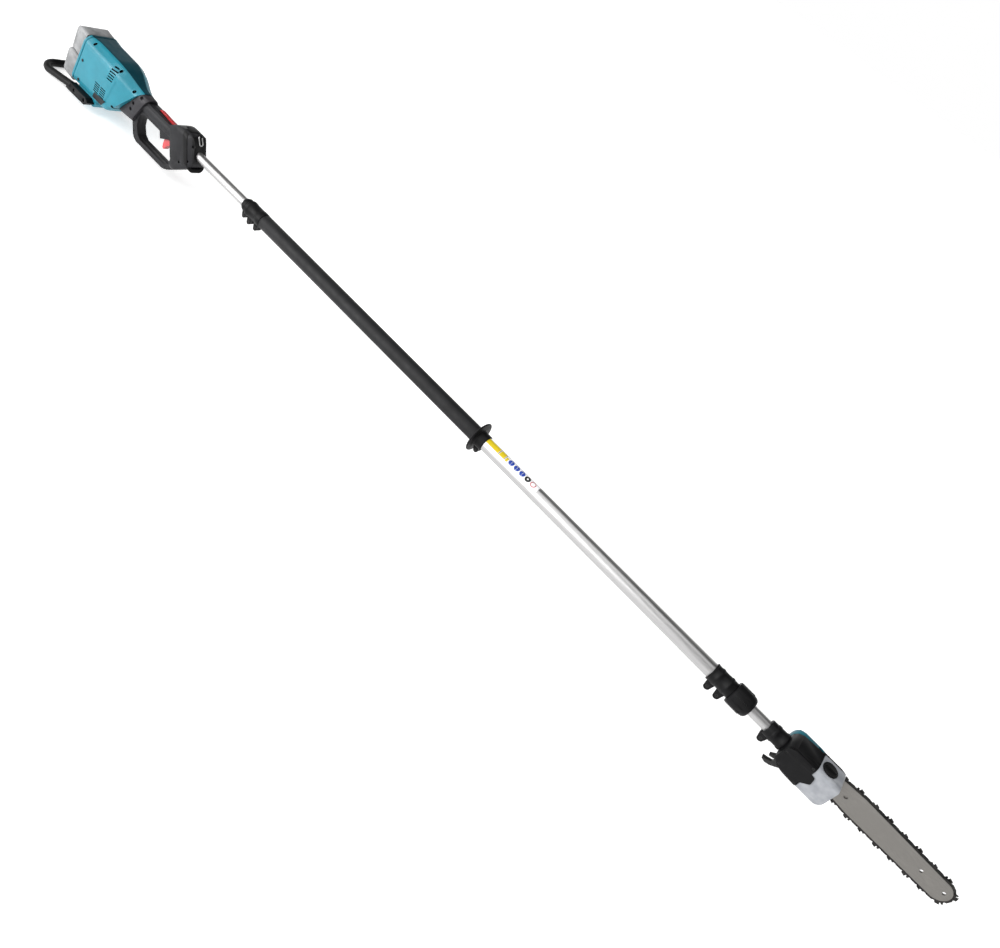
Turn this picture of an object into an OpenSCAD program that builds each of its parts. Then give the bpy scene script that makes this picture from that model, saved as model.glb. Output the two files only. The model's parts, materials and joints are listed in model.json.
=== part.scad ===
// Telescoping pole saw: battery power unit, D-handle, telescoping pole and chain saw head.
// The pole axis runs along X, the saw points to +X, +Z is up and the user's right is -Y.

/* [Overall] */
// Length from the rear guard to the tip of the saw chain, pole retracted
total_length = 2771; // [2769:1:2773]
// Height of the pole axis above the lowest point of the rear guard
axis_height = 114; // [113:0.5:116]
// Distance that the inner pole slides out
pole_travel = 1200; // [200:10:1200]

/* [Pole] */
// Outside diameter of the fixed outer pipe
outer_d = 32; // [31.6:0.1:32.4]
// Wall of the outer pipe
outer_wall = 1.6; // [1.4:0.1:1.8]
// Outside diameter of the sliding inner pipe
inner_d = 23; // [22.6:0.1:23.4]
// Wall of the inner pipe
inner_wall = 1.5; // [1.2:0.1:1.6]
// Outside diameter of the thin pipe that runs through the handle
rear_d = 22; // [21.6:0.1:22.2]
// Wall of the rear pipe
rear_wall = 1.5; // [1.2:0.1:1.6]
// Outside diameter of the soft grip sleeve
sleeve_d = 35.4; // [35:0.1:37]
// Length of the soft grip sleeve
sleeve_len = 730; // [700:5:735]
// Diameter of the hand guard disc
flange_d = 72.6; // [60:0.1:80]

/* [Power unit] */
// Slant of the housing's rear edge
rim_slant = 12.5; // [12:0.1:13]
// Slant of the rails that the batteries slide out on
pack_slant = 8; // [7.5:0.1:8.5]
// Half of the widest width of the motor housing
housing_half = 45; // [44.5:0.5:46]
// Wall of the motor housing
housing_wall = 2.4; // [2:0.1:2.6]
// Width of one battery pack
pack_w = 76; // [74:0.5:77]
// Height of the bumper end of one battery pack
pack_h = 68.5; // [66:0.5:68.5]
// Outside diameter of the rear guard's tube
guard_d = 19; // [17:0.5:19]
// Half of the distance between the rear guard's arms
guard_half = 48; // [47:0.5:49]

/* [Head] */
// Length of the guide bar and chain in front of the head
bar_reach = 266; // [264:1:268]
// Height of the guide bar
bar_h = 53; // [52:0.5:53.5]
// Thickness of the guide bar
bar_t = 4.4; // [4:0.1:4.6]
// Distance of the guide bar to the left of the pole axis
bar_y = 18; // [17.8:0.1:18.4]
// Number of pitches in the saw chain's loop
chain_links = 92; // [92:4:96]

/* [Hidden] */
$fn = 64;
gap = 0.05;
// Stations along X; the whole length is centred on the origin by lift()
x_head_front = 1116;
x_tip = x_head_front + bar_reach;
x_head_rear = x_head_front - 113;
x_hclamp = x_head_rear - 40;
x_nut_front = x_hclamp - 41;
x_nut_rear = x_nut_front - 45;
x_fholder = x_nut_rear - 52;
x_flange = 171;
x_sleeve = x_flange - sleeve_len;
x_rholder = x_sleeve - 71;
x_outer_rear = x_sleeve - 30;
x_outer_front = x_nut_rear + 4;
x_guard = x_tip - total_length;
// Planes that bound the power unit, each [x at the pole axis, slant from upright]
rim = [-1245, rim_slant];
housing_front = [-1050, 38.3];
neck_front = [-1017, 26];
pack_origin = [-1248, -14];
// Height of the shelf between the two packs, in their own frame
shelf_z = -5.5;
// Drive line
shaft_r = 4;
tube_r = 7.5;
tube_end = 760;
shaft_rear = -520;
inner_rear = x_outer_rear + 50;
gear_x = x_head_rear + 39;
pinion_teeth = 10;
gear_teeth = 16;
gear_module = 1.8;
bar_z = 1;
// Circles that the guide bar's outline wraps around, each [x, radius]
bar_circles = [[gear_x + 34, 19], [x_head_front + 50, bar_h / 2], [x_tip - 31.6, 22.5]];
// Circles that the chain's rivet line wraps around
chain_circles = [[gear_x, 18.2], [x_head_front + 50, bar_h / 2 + 2.4], [x_tip - 31.6, 24.9]];
// Housing sections: [x, roof half width, roof z, side half width, shoulder z, skirt z,
// floor half width, floor z]
housing_sections = [
    [-1282, 33, 51, housing_half, 38, -66, 38, -78],
    [-1228, 32, 51, housing_half, 37.5, -66, 38, -78],
    [-1205, 26, 50.5, housing_half, 36, -66, 38, -78],
    [-1122, 26, 49, housing_half, 33, -66, 37, -78],
    [-1094, 22, 43.5, 40.5, 25, -50, 28, -62],
    [-1050, 10, 25.5, 26.5, 12.5, -36, 18, -54],
    [-1015, 8, 20, 21, 8, -34, 14, -50]];
// Screws that join the two housing halves, each [x, z, y of the head]
housing_long_screws = [[-1206, 43, 31], [-1101, 36.8, 27], [-1051, 15.6, 19], [-1096, -53, 27]];
// Screws that hold each housing half to the battery bay, each [x, z]
housing_short_screws = [[-1226, -11], [-1229, -62]];
// Screws of the rear guard's foot plates
foot_screws = [-1224, -1181];
// Screws that join the two handle halves, each [x, z, y of the head's seat]
handle_screws_at = [
    [-1034, -76, 9.5], [-894, -87, 9.5], [-845, -37, 18], [-819, -18, 18], [-820, 19.5, 13]];

// ---- helpers ----

// Puts a piece drawn around the pole axis at its height above the ground and centres the length
module lift() translate([total_length / 2 - x_tip, 0, axis_height]) children();

// Solid and hollow round bars along X and Y
module rod_x(x0, x1, d) translate([x0, 0, 0]) rotate([0, 90, 0]) cylinder(h = x1 - x0, d = d);
module rod_y(x, z, y0, y1, d)
    translate([x, y0, z]) rotate([-90, 0, 0]) cylinder(h = y1 - y0, d = d);
module tube_x(x0, x1, od, id)
    difference() {
        rod_x(x0, x1, od);
        rod_x(x0 - 1, x1 + 1, id);
    }

// Turned shape around the pole axis; points are [radius, x]
module turned_x(points) rotate([0, 90, 0]) rotate_extrude() polygon(points);

// Upright plate with an outline in X and Z, from y0 to y1
module plate_xz(points, y0, y1)
    translate([0, y1, 0]) rotate([90, 0, 0]) linear_extrude(y1 - y0) polygon(points);

module box(x, y, z) translate([x[0], y[0], z[0]]) cube([x[1] - x[0], y[1] - y[0], z[1] - z[0]]);

// Everything behind a slanted plane that crosses the pole axis at plane[0]
module behind(plane)
    translate([plane[0], 0, 0]) rotate([0, plane[1], 0]) translate([-600, -150, -200]) cube([600, 300, 400]);

// Frame of the battery rails
module pack_frame()
    translate([pack_origin[0], 0, pack_origin[1]]) rotate([0, pack_slant, 0]) children();

// Points of an arc in a plane
function arc(c, r, a0, a1, n) =
    [for (i = [0:n]) let (a = a0 + (a1 - a0) * i / n) [c[0] + r * cos(a), c[1] + r * sin(a)]];

// Rectangle with round corners, as points
function round_rect(c, w, h, r, n = 6) = concat(
    arc(c + [w / 2 - r, h / 2 - r], r, 0, 90, n), arc(c + [-w / 2 + r, h / 2 - r], r, 90, 180, n),
    arc(c + [-w / 2 + r, -h / 2 + r], r, 180, 270, n),
    arc(c + [w / 2 - r, -h / 2 + r], r, 270, 360, n));

// Skin through sections with equally many points, each [x, [[y, z], ...]]
module loft(sections) {
    n = len(sections[0][1]);
    m = len(sections);
    points = [for (s = sections) for (p = s[1]) [s[0], p[0], p[1]]];
    sides = [for (i = [0:m - 2]) for (j = [0:n - 1]) let (k = (j + 1) % n)
        each [[i * n + j, (i + 1) * n + k, i * n + k], [i * n + j, (i + 1) * n + j, (i + 1) * n + k]]];
    first = [[for (j = [0:n - 1]) j]];
    last = [[for (j = [0:n - 1]) m * n - 1 - j]];
    polyhedron(points, concat(sides, first, last));
}

// Closed section of the housing, moved inwards by t; its corners are softened
function half_section(s, t) = let (
        roof = [s[1] - 0.6 * t, s[2] - t], shoulder = [s[3] - t, s[4] - 0.4 * t],
        skirt = [s[3] - t, s[5] + 0.4 * t], floor = [s[6] - 0.6 * t, s[7] + t])
    [floor + 0.12 * [-s[6], 0], floor + 0.25 * (skirt - floor), skirt + 0.2 * (floor - skirt),
     skirt + 0.12 * (shoulder - skirt), shoulder + 0.12 * (skirt - shoulder),
     shoulder + 0.2 * (roof - shoulder), roof + 0.15 * (shoulder - roof), roof + [-0.25 * s[1], 0.4]];
function mirrored(points) = [for (i = [len(points) - 1:-1:0]) [-points[i][0], points[i][1]]];
function section(s, t) = [s[0], concat(half_section(s, t), mirrored(half_section(s, t)))];

// ---- power unit ----

module housing_solid(t) loft([for (s = housing_sections) section(s, t)]);

module housing_foot() box([-1237, -1168], [-37, 37], [-99, -74]);

module housing_vents() {
    // Upper group of slots beside the motor
    for (i = [0:5])
        translate([-1109.5 - 1.6 * i, 0, 38 - 6.9 * i]) cube([19, 120, 3], center = true);
    // Lower group of slots below the controller
    for (i = [0:4]) for (x = [-1154.5, -1131.5])
        translate([x - 0.6 * i, 0, -29.5 - 5.4 * i]) cube([20, 120, 2.6], center = true);
}

module housing_bosses() {
    for (s = housing_long_screws) rod_y(s[0], s[1], -44, 44, 8.6);
}

module housing_shell() {
    difference() {
        union() {
            difference() {
                housing_solid(0);
                housing_solid(housing_wall);
            }
            intersection() {
                housing_solid(0);
                housing_bosses();
            }
            // Front wall that the neck is bolted to
            intersection() {
                housing_solid(0);
                difference() {
                    behind(housing_front);
                    behind(housing_front - [5, 0]);
                }
            }
            housing_foot();
        }
        // Slanted ends
        behind(rim);
        difference() {
            box([-1300, -900], [-100, 100], [-200, 100]);
            behind(housing_front);
        }
        housing_vents();
        // Round passage for the drive line
        rod_x(-1100, -1000, 30);
        for (s = housing_long_screws) {
            rod_y(s[0], s[1], -90, -s[2] + 3, 7);
            rod_y(s[0], s[1], -90, 16, 3.6);
        }
        for (s = housing_short_screws) {
            rod_y(s[0], s[1], -50, 50, 3.6);
        }
        for (x = foot_screws) rod_y(x, -89.5, -50, 50, 5.1);
    }
}

module housing_right()
    color("#129bb3") lift() intersection() {
        housing_shell();
        box([-1400, -900], [-100, 0], [-200, 200]);
    }

module housing_left()
    color("#129bb3") lift() intersection() {
        housing_shell();
        box([-1400, -900], [0, 100], [-200, 200]);
    }

// Frame with two pockets that the battery packs slide into
module battery_bay()
    color("#26282b") lift() difference() {
        intersection() {
            housing_solid(housing_wall + 0.3);
            pack_frame() union() {
                box([-12, 54], [-39.5, 39.5], [shelf_z, 42.8]);
                box([-12, 44], [-39.5, 39.5], [-53.8, shelf_z]);
                box([-3, 5], [-34.5, 34.5], [42, 65.5]);
            }
        }
        behind(rim - [4, 0]);
        pack_frame() {
            box([-60, 50], [-35.8, 35.8], [shelf_z + 1.5, 41]);
            box([-60, 40], [-35.8, 35.8], [-52, shelf_z - 1.5]);
        }
        for (s = housing_short_screws) rod_y(s[0], s[1], -50, 50, 3.1);
    }

// Blades that reach into each pack through the end wall of the bay
module battery_terminals()
    color("#c9a24b") lift() pack_frame()
        for (y = [-18, -6, 6, 18]) {
            box([42, 50], [y - 0.6, y + 0.6], [shelf_z + 6, shelf_z + 13]);
            box([32, 40], [y - 0.6, y + 0.6], [shelf_z - 13, shelf_z - 6]);
        }

// Sealed circuit board in an aluminium tray, upright behind the bay
module controller()
    color("#8d9296") lift() pack_frame() union() {
        box([57, 60], [-33, 33], [-44, 34]);
        for (z = [-36:14:20]) box([60, 65], [-26, 26], [z, z + 9]);
    }

module motor_stator()
    color("#9aa0a5") lift() difference() {
        union() {
            tube_x(-1152, -1118, 58, 38);
            for (a = [0:60:300])
                rotate([a, 0, 0]) box([-1157, -1113], [-6.5, 6.5], [16.2, 26]);
        }
        rod_x(-1160, -1110, 32.4);
    }

// Two ball bearings that carry the motor shaft
module motor_bearings()
    color("#b8bcc0") lift() {
        for (x = [-1171, -1103]) tube_x(x, x + 7, 22, 2 * shaft_r + gap);
    }

// Aluminium carrier that holds the stator and both bearings
module motor_end_bell()
    color("#7f858a") lift() difference() {
        union() {
            tube_x(-1112.5, -1108, 64, 24);
            tube_x(-1108, -1094, 28, 22 + gap);
            tube_x(-1174, -1163, 28, 22 + gap);
            for (a = [45:90:315])
                rotate([a, 0, 0]) box([-1166, -1108], [-4, 4], [29.1, 32]);
            for (a = [45:90:315])
                rotate([a, 0, 0]) box([-1166, -1163], [-4, 4], [13, 32]);
        }
        rod_x(-1164, -1110, 58 + gap);
        rod_x(-1098, -1090, 18);
    }

// Cast neck between the motor housing and the handle
module neck()
    color("#4b4b4f") lift() difference() {
        intersection() {
            loft([for (s = [[-1110, 20, 23, 24, 12, -50, 20, -60], [-1000, 9, 20, 19, 8, -42, 14, -53]])
                section(s, 0)]);
            difference() {
                behind(neck_front);
                behind(housing_front + [0.2, 0]);
            }
        }
        rod_x(-1120, -990, rear_d + gap);
        for (p = [[-1029, 13.5], [-1049, -12], [-1054, -29.5]]) rod_y(p[0], p[1], -40, -13, 8.4);
    }

// Side outline of the handle and its front block, with the hand opening
handle_outline = [
    [-1046, -50], [-1047, -60], [-1036, -84], [-1030, -91], [-1018, -95.5], [-912, -95.5],
    [-900, -93], [-882, -83], [-845, -56], [-820, -38], [-808, -24], [-806, -10], [-811, 4],
    [-821, 30], [-827, 37.5], [-838, 41], [-858, 40.5], [-878, 36.5], [-894, 30], [-906, 21],
    [-917, 14.5], [-1016, 14], [-1021, 0], [-1040, -40]];
hand_opening = [
    [-1030, -42], [-1029, -58], [-1019, -76], [-1006, -83], [-905, -83], [-893, -76],
    [-885, -66], [-880, -52], [-880, -44], [-889.5, -22], [-893, -20.5], [-911, -20.5],
    [-940.5, -36], [-948, -20], [-1012, -20], [-1024, -26]];

trigger_pivot = [-893, -15.8];
// Slant of the front block's band, shoulder and front face
block_slant = -23.5;
lever_pivot = [-905, 15.2];
// Centre of the power button in the top of the front block, behind the band
power_at = -870;

module handle_solid() {
    difference() {
        union() {
            // Round grip around the rear pipe
            intersection() {
                translate([-1100, 0, -3]) rotate([0, 90, 0]) scale([1, 0.94, 1]) cylinder(h = 300, r = 17);
                plate_xz([[-1040, 30], [-1040, -30], [-880, -30], [-880, 30]], -40, 40);
            }
            // Loop, trigger guard and the web above the trigger
            intersection() {
                difference() {
                    plate_xz(handle_outline, -12.5, 12.5);
                    plate_xz(hand_opening, -20, 20);
                }
                box([-1060, -780], [-13, 13], [-100, 13]);
            }
            // Cheeks beside the lock-off lever's pivot
            plate_xz([[-917, 5], [-917, 14.5], [-906, 21], [-894, 30], [-888, 30], [-888, 5]], -11, 11);
            // Wide front block
            intersection() {
                plate_xz(handle_outline, -24, 24);
                plate_xz([[-872, -80], [-876, -62], [-876, -48], [-880, -43], [-904, 14], [-908, 45],
                    [-790, 45], [-790, -80]], -24, 24);
                translate([-910, 0, -16.5]) rotate([0, 90, 0]) linear_extrude(120)
                    polygon(round_rect([0, 0], 119, 48, 17, 8));
                // Tapered shoulders in front of the band
                translate([-827, 0, 0]) rotate([0, block_slant, 0]) translate([0, 0, -100])
                    linear_extrude(200) polygon([[-120, -24], [2, -24], [22, -14], [60, -12], [60, 12],
                        [22, 14], [2, 24], [-120, 24]]);
            }
            // Tab that holds the strap eye
            eye_frame() box([-8, 3.4], [-3.4, 3.4], [7.4, 12.8]);
        }
        // The cast neck takes the space behind its front plane
        intersection() {
            behind(neck_front + [0.1, 0]);
            box([-1100, -990], [-60, 60], [-57, 60]);
        }
    }
}

module handle_cavities() {
    rod_x(-1100, -700, rear_d + gap);
    // Switch chamber in front of the trigger
    box([-876, -853], [-9.5, 9.5], [-50, -13.5]);
    // Slot that the trigger moves in
    box([-937.5, -874], [-6.6, 6.6], [-33, -13.5]);
    box([-937.5, -886], [-6.6, 6.6], [-52, -30]);
    rod_y(trigger_pivot[0], trigger_pivot[1], -11.6, 11.6, 3.1);
    // Recess of the lock-off lever in the top of the grip
    box([-977, -899.5], [-4.4, 4.4], [11.6, 40]);
    rod_y(lever_pivot[0], lever_pivot[1], -8.6, 8.6, 3.1);
    // Seat of the power button
    translate([power_at, 0, 30]) cylinder(h = 20, r = 6.4);
    for (s = handle_screws_at) {
        rod_y(s[0], s[1], -30, 8, 3.6);
        rod_y(s[0], s[1], -30, -s[2], 6.6);
    }
}

module handle_half(side)
    difference() {
        intersection() {
            handle_solid();
            box([-1100, -780], side < 0 ? [-60, 0] : [0, 60], [-120, 60]);
        }
        handle_cavities();
        strap_band_solid(0.1);
        eye_frame() eye_wire(1.4);
    }

module grip_right() color("#3a3b40") lift() handle_half(-1);

module grip_left() color("#3a3b40") lift() handle_half(1);

// Trigger switch in its chamber, with the lead tray above the trigger
module switch_unit()
    color("#1d1f22") lift() union() {
        box([-873.5, -855], [-9, 9], [-48, -14]);
        // Plunger that the trigger's heel pushes
        box([-878.5, -872], [-3, 3], [-21, -16]);
    }

// Slanted strap band: it wraps the front block and stands 1.2 mm proud
module strap_band_solid(extra)
    intersection() {
        translate([-880, 0, 0]) rotate([0, 90, 0]) linear_extrude(90)
            difference() {
                polygon(round_rect([0, 0], 84, 50.4, 17, 8));
                polygon(round_rect([0, 0], 68, 41, 13, 8));
            }
        difference() {
            behind([-827 + extra, block_slant]);
            behind([-843 - extra, block_slant]);
        }
    }

// Band around the front block of the handle
module strap_bracket() color("#222326") lift() strap_band_solid(0);

// Frame of the wire eye, which hangs in front of the block's slanted face
module eye_frame() translate([-821.5, 0, 34.5]) rotate([0, -33, 0]) children();

// Oblong wire loop with its long way up
module eye_wire(r)
    for (side = [-1, 1]) {
        translate([0, side * 4.4, -6]) cylinder(h = 12, r = r, $fn = 24);
        translate([0, 0, side * 6]) rotate([0, 90, 0]) rotate([0, 0, side > 0 ? 90 : -90])
            rotate_extrude(angle = 180, $fn = 40) translate([4.4, 0]) circle(r = r, $fn = 24);
    }

// Steel eye that the shoulder strap's hook clips into
module strap_eye()
    color("#c3c6c9") lift() eye_frame() union() eye_wire(1.35);

// Bent tube behind the batteries, with a foot plate on each side of the housing
module rear_guard() {
    r = guard_d / 2;
    z_low = -axis_height + r;
    bend = 36;
    x_bend = x_guard + r + bend;
    arm_tilt = atan((z_low + 88) / (-1245 - x_bend));
    arm_len = (-1245 - x_bend) / cos(arm_tilt);
    color("#2b2c2f") lift() difference() {
        union() {
            // Crossbar with a round corner to each arm
            translate([x_guard + r, -guard_half + bend, z_low]) rotate([-90, 0, 0])
                cylinder(h = 2 * (guard_half - bend), r = r);
            for (side = [-1, 1]) {
                translate([x_bend, side * (guard_half - bend), z_low]) rotate([0, 0, side > 0 ? 90 : 180])
                    rotate_extrude(angle = 90) translate([bend, 0]) circle(r = r);
                translate([x_bend, side * guard_half, z_low]) rotate([0, 90 - arm_tilt * -1, 0])
                    cylinder(h = arm_len + 4, r = r);
                translate([x_bend, side * guard_half, z_low]) sphere(r = r);
                // Foot plate
                plate_xz([[-1258, -100], [-1246, -80], [-1176, -80], [-1164, -88], [-1178, -99.5],
                    [-1240, -101]], side > 0 ? 37.3 : -56, side > 0 ? 56 : -37.3);
            }
        }
        for (x = foot_screws) {
            rod_y(x, -89.5, -80, 80, 5.1);
            rod_y(x, -89.5, 49, 80, 8.8);
            rod_y(x, -89.5, -80, -49, 8.8);
        }
    }
}

// Pan-head screw along Y; the head sits at y0 and the shank runs to y1
module screw_y(x, z, y0, y1, shank, head) {
    s = y1 > y0 ? 1 : -1;
    translate([x, y0, z]) rotate([s > 0 ? -90 : 90, 0, 0]) difference() {
        union() {
            translate([0, 0, -head * 0.4]) cylinder(h = head * 0.4, d = head);
            cylinder(h = abs(y1 - y0), d = shank);
        }
        // Hexalobular socket
        translate([0, 0, -head * 0.4 - 1]) cylinder(h = 1 + head * 0.25, d = head * 0.45, $fn = 6);
    }
}

module housing_screws()
    color("#1b1b1c") lift() {
        for (s = housing_long_screws) screw_y(s[0], s[1], -s[2] + 3, 14, 3.5, 6.4);
        for (s = housing_short_screws) for (side = [-1, 1])
            screw_y(s[0], s[1], side * 45.1, side * 37, 3, 6.4);
    }

module handle_screws()
    color("#1b1b1c") lift()
        for (s = handle_screws_at) screw_y(s[0], s[1], -s[2], 7, 3.5, 6.2);

module guard_screws()
    color("#1b1b1c") lift()
        for (x = foot_screws) for (side = [-1, 1])
            screw_y(x, -89.5, side * 49, side * 26, 5, 8.4);

// ---- pole ----

// Thin aluminium pipe from the neck, through the handle, to the rear holder
module rear_pipe()
    color("#d9dadc") lift() tube_x(-1040, x_sleeve - 2, rear_d, rear_d - 2 * rear_wall);

module outer_pipe()
    color("#d9dadc") lift() tube_x(x_outer_rear, x_outer_front, outer_d, outer_d - 2 * outer_wall);

module grip_sleeve()
    color("#1e1f21") lift() tube_x(x_sleeve, x_flange - 3, sleeve_d, outer_d + gap);

// Rounded lug under a clamp, split by the slot that its bolt closes
module clamp_lug(x, depth, r) {
    hull() {
        rod_y(x, -depth + r, -8, 8, 2 * r);
        rod_y(x, -12, -8, 8, 2 * r + 6);
    }
}

// Holder that joins the rear pipe to the outer pipe
rholder_bolts = [x_rholder + 12, x_rholder + 32, x_rholder + 56];
module rear_holder()
    color("#202123") lift() difference() {
        union() {
            turned_x([[0, x_rholder], [13, x_rholder], [16.4, x_rholder + 6], [16.4, x_rholder + 13],
                [15.8, x_rholder + 15], [18.8, x_rholder + 18], [18.8, x_rholder + 25],
                [17.8, x_rholder + 27], [17.8, x_rholder + 54], [18.6, x_rholder + 56],
                [18.6, x_rholder + 66], [17.6, x_sleeve - 1], [0, x_sleeve - 1]]);
            for (x = rholder_bolts) clamp_lug(x, x < x_rholder + 20 ? 29 : 33, 5);
        }
        rod_x(x_rholder - 1, x_outer_rear + 1, rear_d + gap);
        rod_x(x_outer_rear, x_sleeve, outer_d + gap);
        box([x_rholder - 1, x_sleeve], [-0.8, 0.8], [-40, -10]);
        for (x = rholder_bolts) clamp_bolt_hole(x, x < x_rholder + 20 ? 23 : 27);
    }

module clamp_bolt_hole(x, depth) {
    rod_y(x, -depth, -20, 20, 4.2);
    rod_y(x, -depth, -20, -5.5, 7.6);
}

fholder_bolts = [x_fholder + 14, x_fholder + 38];
head_bolt = x_hclamp + 7;
// Socket-head bolts of the rear holder, the hand guard and the front holder
module clamp_bolts()
    color("#8e9194") lift() {
        for (x = rholder_bolts) screw_y(x, x < x_rholder + 20 ? -23 : -27, -5.5, 7.6, 4.1, 7.2);
        for (x = fholder_bolts) screw_y(x, -28, -5.5, 7.6, 4.1, 7.2);
        screw_y(x_flange + 11, -24.5, -5.5, 7.6, 4.1, 7.2);
    }

// Disc that keeps the front hand off the saw, clamped round the outer pipe
module hand_guard()
    color("#1e1f21") lift() difference() {
        union() {
            turned_x([[0, x_flange - 2.6], [18.9, x_flange - 2.6], [21, x_flange - 2],
                [flange_d / 2 - 1.2, x_flange - 1.8], [flange_d / 2, x_flange - 0.6],
                [flange_d / 2, x_flange + 0.6], [flange_d / 2 - 1.2, x_flange + 1.8],
                [21, x_flange + 2.6], [18.8, x_flange + 5], [18.4, x_flange + 22], [17, x_flange + 23],
                [0, x_flange + 23]]);
            hull() {
                rod_y(x_flange + 12, -24.5, -8, 8, 11);
                rod_y(x_flange + 9, -12, -8, 8, 16);
            }
        }
        rod_x(x_flange - 5, x_flange + 30, outer_d + gap);
        box([x_flange - 5, x_flange + 30], [-0.8, 0.8], [-33, -10]);
        clamp_bolt_hole(x_flange + 11, 24.5);
    }

// Holder at the front end of the outer pipe, with the thread for the lock nut
module front_holder()
    color("#202123") lift() difference() {
        union() {
            turned_x([[0, x_fholder], [19.2, x_fholder], [19.2, x_fholder + 3], [18.2, x_fholder + 4],
                [18.2, x_fholder + 11], [19.4, x_fholder + 13], [19.4, x_fholder + 17],
                [18.2, x_fholder + 19], [18.2, x_fholder + 34], [19.4, x_fholder + 36],
                [19.4, x_fholder + 40], [18.2, x_fholder + 42], [18.2, x_nut_rear],
                [17.6, x_nut_rear + 2], [17.6, x_nut_rear + 14], [0, x_nut_rear + 14]]);
            for (x = fholder_bolts) clamp_lug(x, 37, 7);
        }
        rod_x(x_fholder - 1, x_outer_front, outer_d + gap);
        rod_x(x_fholder, x_nut_front, 28.9);
        box([x_fholder - 1, x_nut_rear - 3], [-0.8, 0.8], [-40, -10]);
        for (x = fholder_bolts) clamp_bolt_hole(x, 28);
    }

// Slotted tapered ring that the lock nut squeezes onto the inner pipe
module collet()
    color("#c9c6ba") lift() difference() {
        turned_x([[inner_d / 2 + gap, x_nut_rear + 6], [14.4, x_nut_rear + 6], [14.4, x_nut_rear + 15],
            [17, x_nut_rear + 15], [17, x_nut_rear + 24], [14, x_nut_rear + 37],
            [inner_d / 2 + gap, x_nut_rear + 37]]);
        for (a = [0:60:300]) rotate([a, 0, 0]) box([x_nut_rear + 13, x_nut_rear + 38], [-0.8, 0.8], [0, 20]);
    }

// Bushes that carry the drive tube inside the rear pipe
module shaft_bushes()
    color("#e3e0d4") lift()
        for (x = [-1030, -900, -760, -640])
            tube_x(x, x + 14, rear_d - 2 * rear_wall - gap, 2 * tube_r + 0.12);

module lock_nut()
    color("#1c1d1f") lift() difference() {
        union() {
            turned_x([[0, x_nut_rear + 0.4], [23.6, x_nut_rear + 0.4], [24.4, x_nut_rear + 1.4],
                [24.2, x_nut_rear + 20], [23.2, x_nut_front - 9], [22.2, x_nut_front - 5],
                [19.6, x_nut_front - 1.6], [16.5, x_nut_front], [0, x_nut_front]]);
            for (a = [0:30:330])
                rotate([a, 0, 0]) box([x_nut_rear + 4, x_nut_front - 12], [-1.6, 1.6], [20, 24.6]);
        }
        turned_x([[0, x_nut_rear - 1], [18.6, x_nut_rear - 1], [18.6, x_nut_rear + 17],
            [17.4, x_nut_rear + 17], [17.4, x_nut_rear + 24.4], [14.4, x_nut_rear + 37.6],
            [14.4, x_nut_rear + 39], [0, x_nut_rear + 39]]);
        rod_x(x_nut_rear, x_nut_front + 1, inner_d + 1);
    }

// ---- drive line ----

module motor_rotor()
    color("#6d7176") lift() difference() {
        union() {
            rod_x(-1150, -1120, 31.6);
            rod_x(-1172, -1080, 2 * shaft_r);
        }
        for (a = [0:90:270]) rotate([a, 0, 0]) box([-1149, -1121], [-4, 4], [10, 12.5]);
    }

module cooling_fan()
    color("#303236") lift() difference() {
        union() {
            tube_x(-1093.5, -1088, 18, 2 * shaft_r + gap);
            tube_x(-1089, -1087.5, 54, 2 * shaft_r + gap);
            for (a = [0:30:330])
                rotate([a, 0, 0]) box([-1093, -1088.5], [-0.7, 0.7], [8.5, 26.5]);
        }
        rod_x(-1100, -1080, 2 * shaft_r + gap);
    }

// Sleeve that couples the motor shaft to the drive tube
module shaft_coupling()
    color("#a9adb1") lift() difference() {
        tube_x(-1086, -1052, 20, 2 * shaft_r + gap);
        rod_x(-1070, -1050, 2 * tube_r + gap);
    }

// Long tube with a hexagonal bore that the head shaft telescopes in
module drive_tube()
    color("#b4b8bb") lift() difference() {
        rod_x(-1069, tube_end, 2 * tube_r);
        rotate([0, 90, 0]) translate([0, 0, -1070]) cylinder(h = tube_end + 1071, d = 10.4, $fn = 6);
    }

// ---- sliding pole and saw head ----

module inner_pipe()
    color("#d9dadc") lift() tube_x(inner_rear, x_head_rear - 8, inner_d, inner_d - 2 * inner_wall);

// Ring at the rear end of the inner pipe that guides it in the outer pipe
module guide_bush()
    color("#e3e0d4") lift() difference() {
        tube_x(inner_rear - 12, inner_rear + 40, outer_d - 2 * outer_wall - 0.1, 2 * tube_r + 0.12);
        rod_x(inner_rear, inner_rear + 41, inner_d + gap);
    }

module head_clamp()
    color("#202123") lift() difference() {
        union() {
            turned_x([[0, x_hclamp], [15.6, x_hclamp], [16.6, x_hclamp + 1.5], [16.6, x_hclamp + 12],
                [18, x_hclamp + 14], [18, x_hclamp + 19], [17, x_hclamp + 21], [17, x_hclamp + 32],
                [18.2, x_hclamp + 34], [18.2, x_head_rear - 0.5], [0, x_head_rear - 0.5]]);
            clamp_lug(head_bolt, 33, 6.8);
        }
        rod_x(x_hclamp - 8, x_head_rear + 1, inner_d + gap);
        box([x_hclamp - 8, x_hclamp + 22], [-0.8, 0.8], [-40, -10]);
        clamp_bolt_hole(head_bolt, 25);
    }

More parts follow.
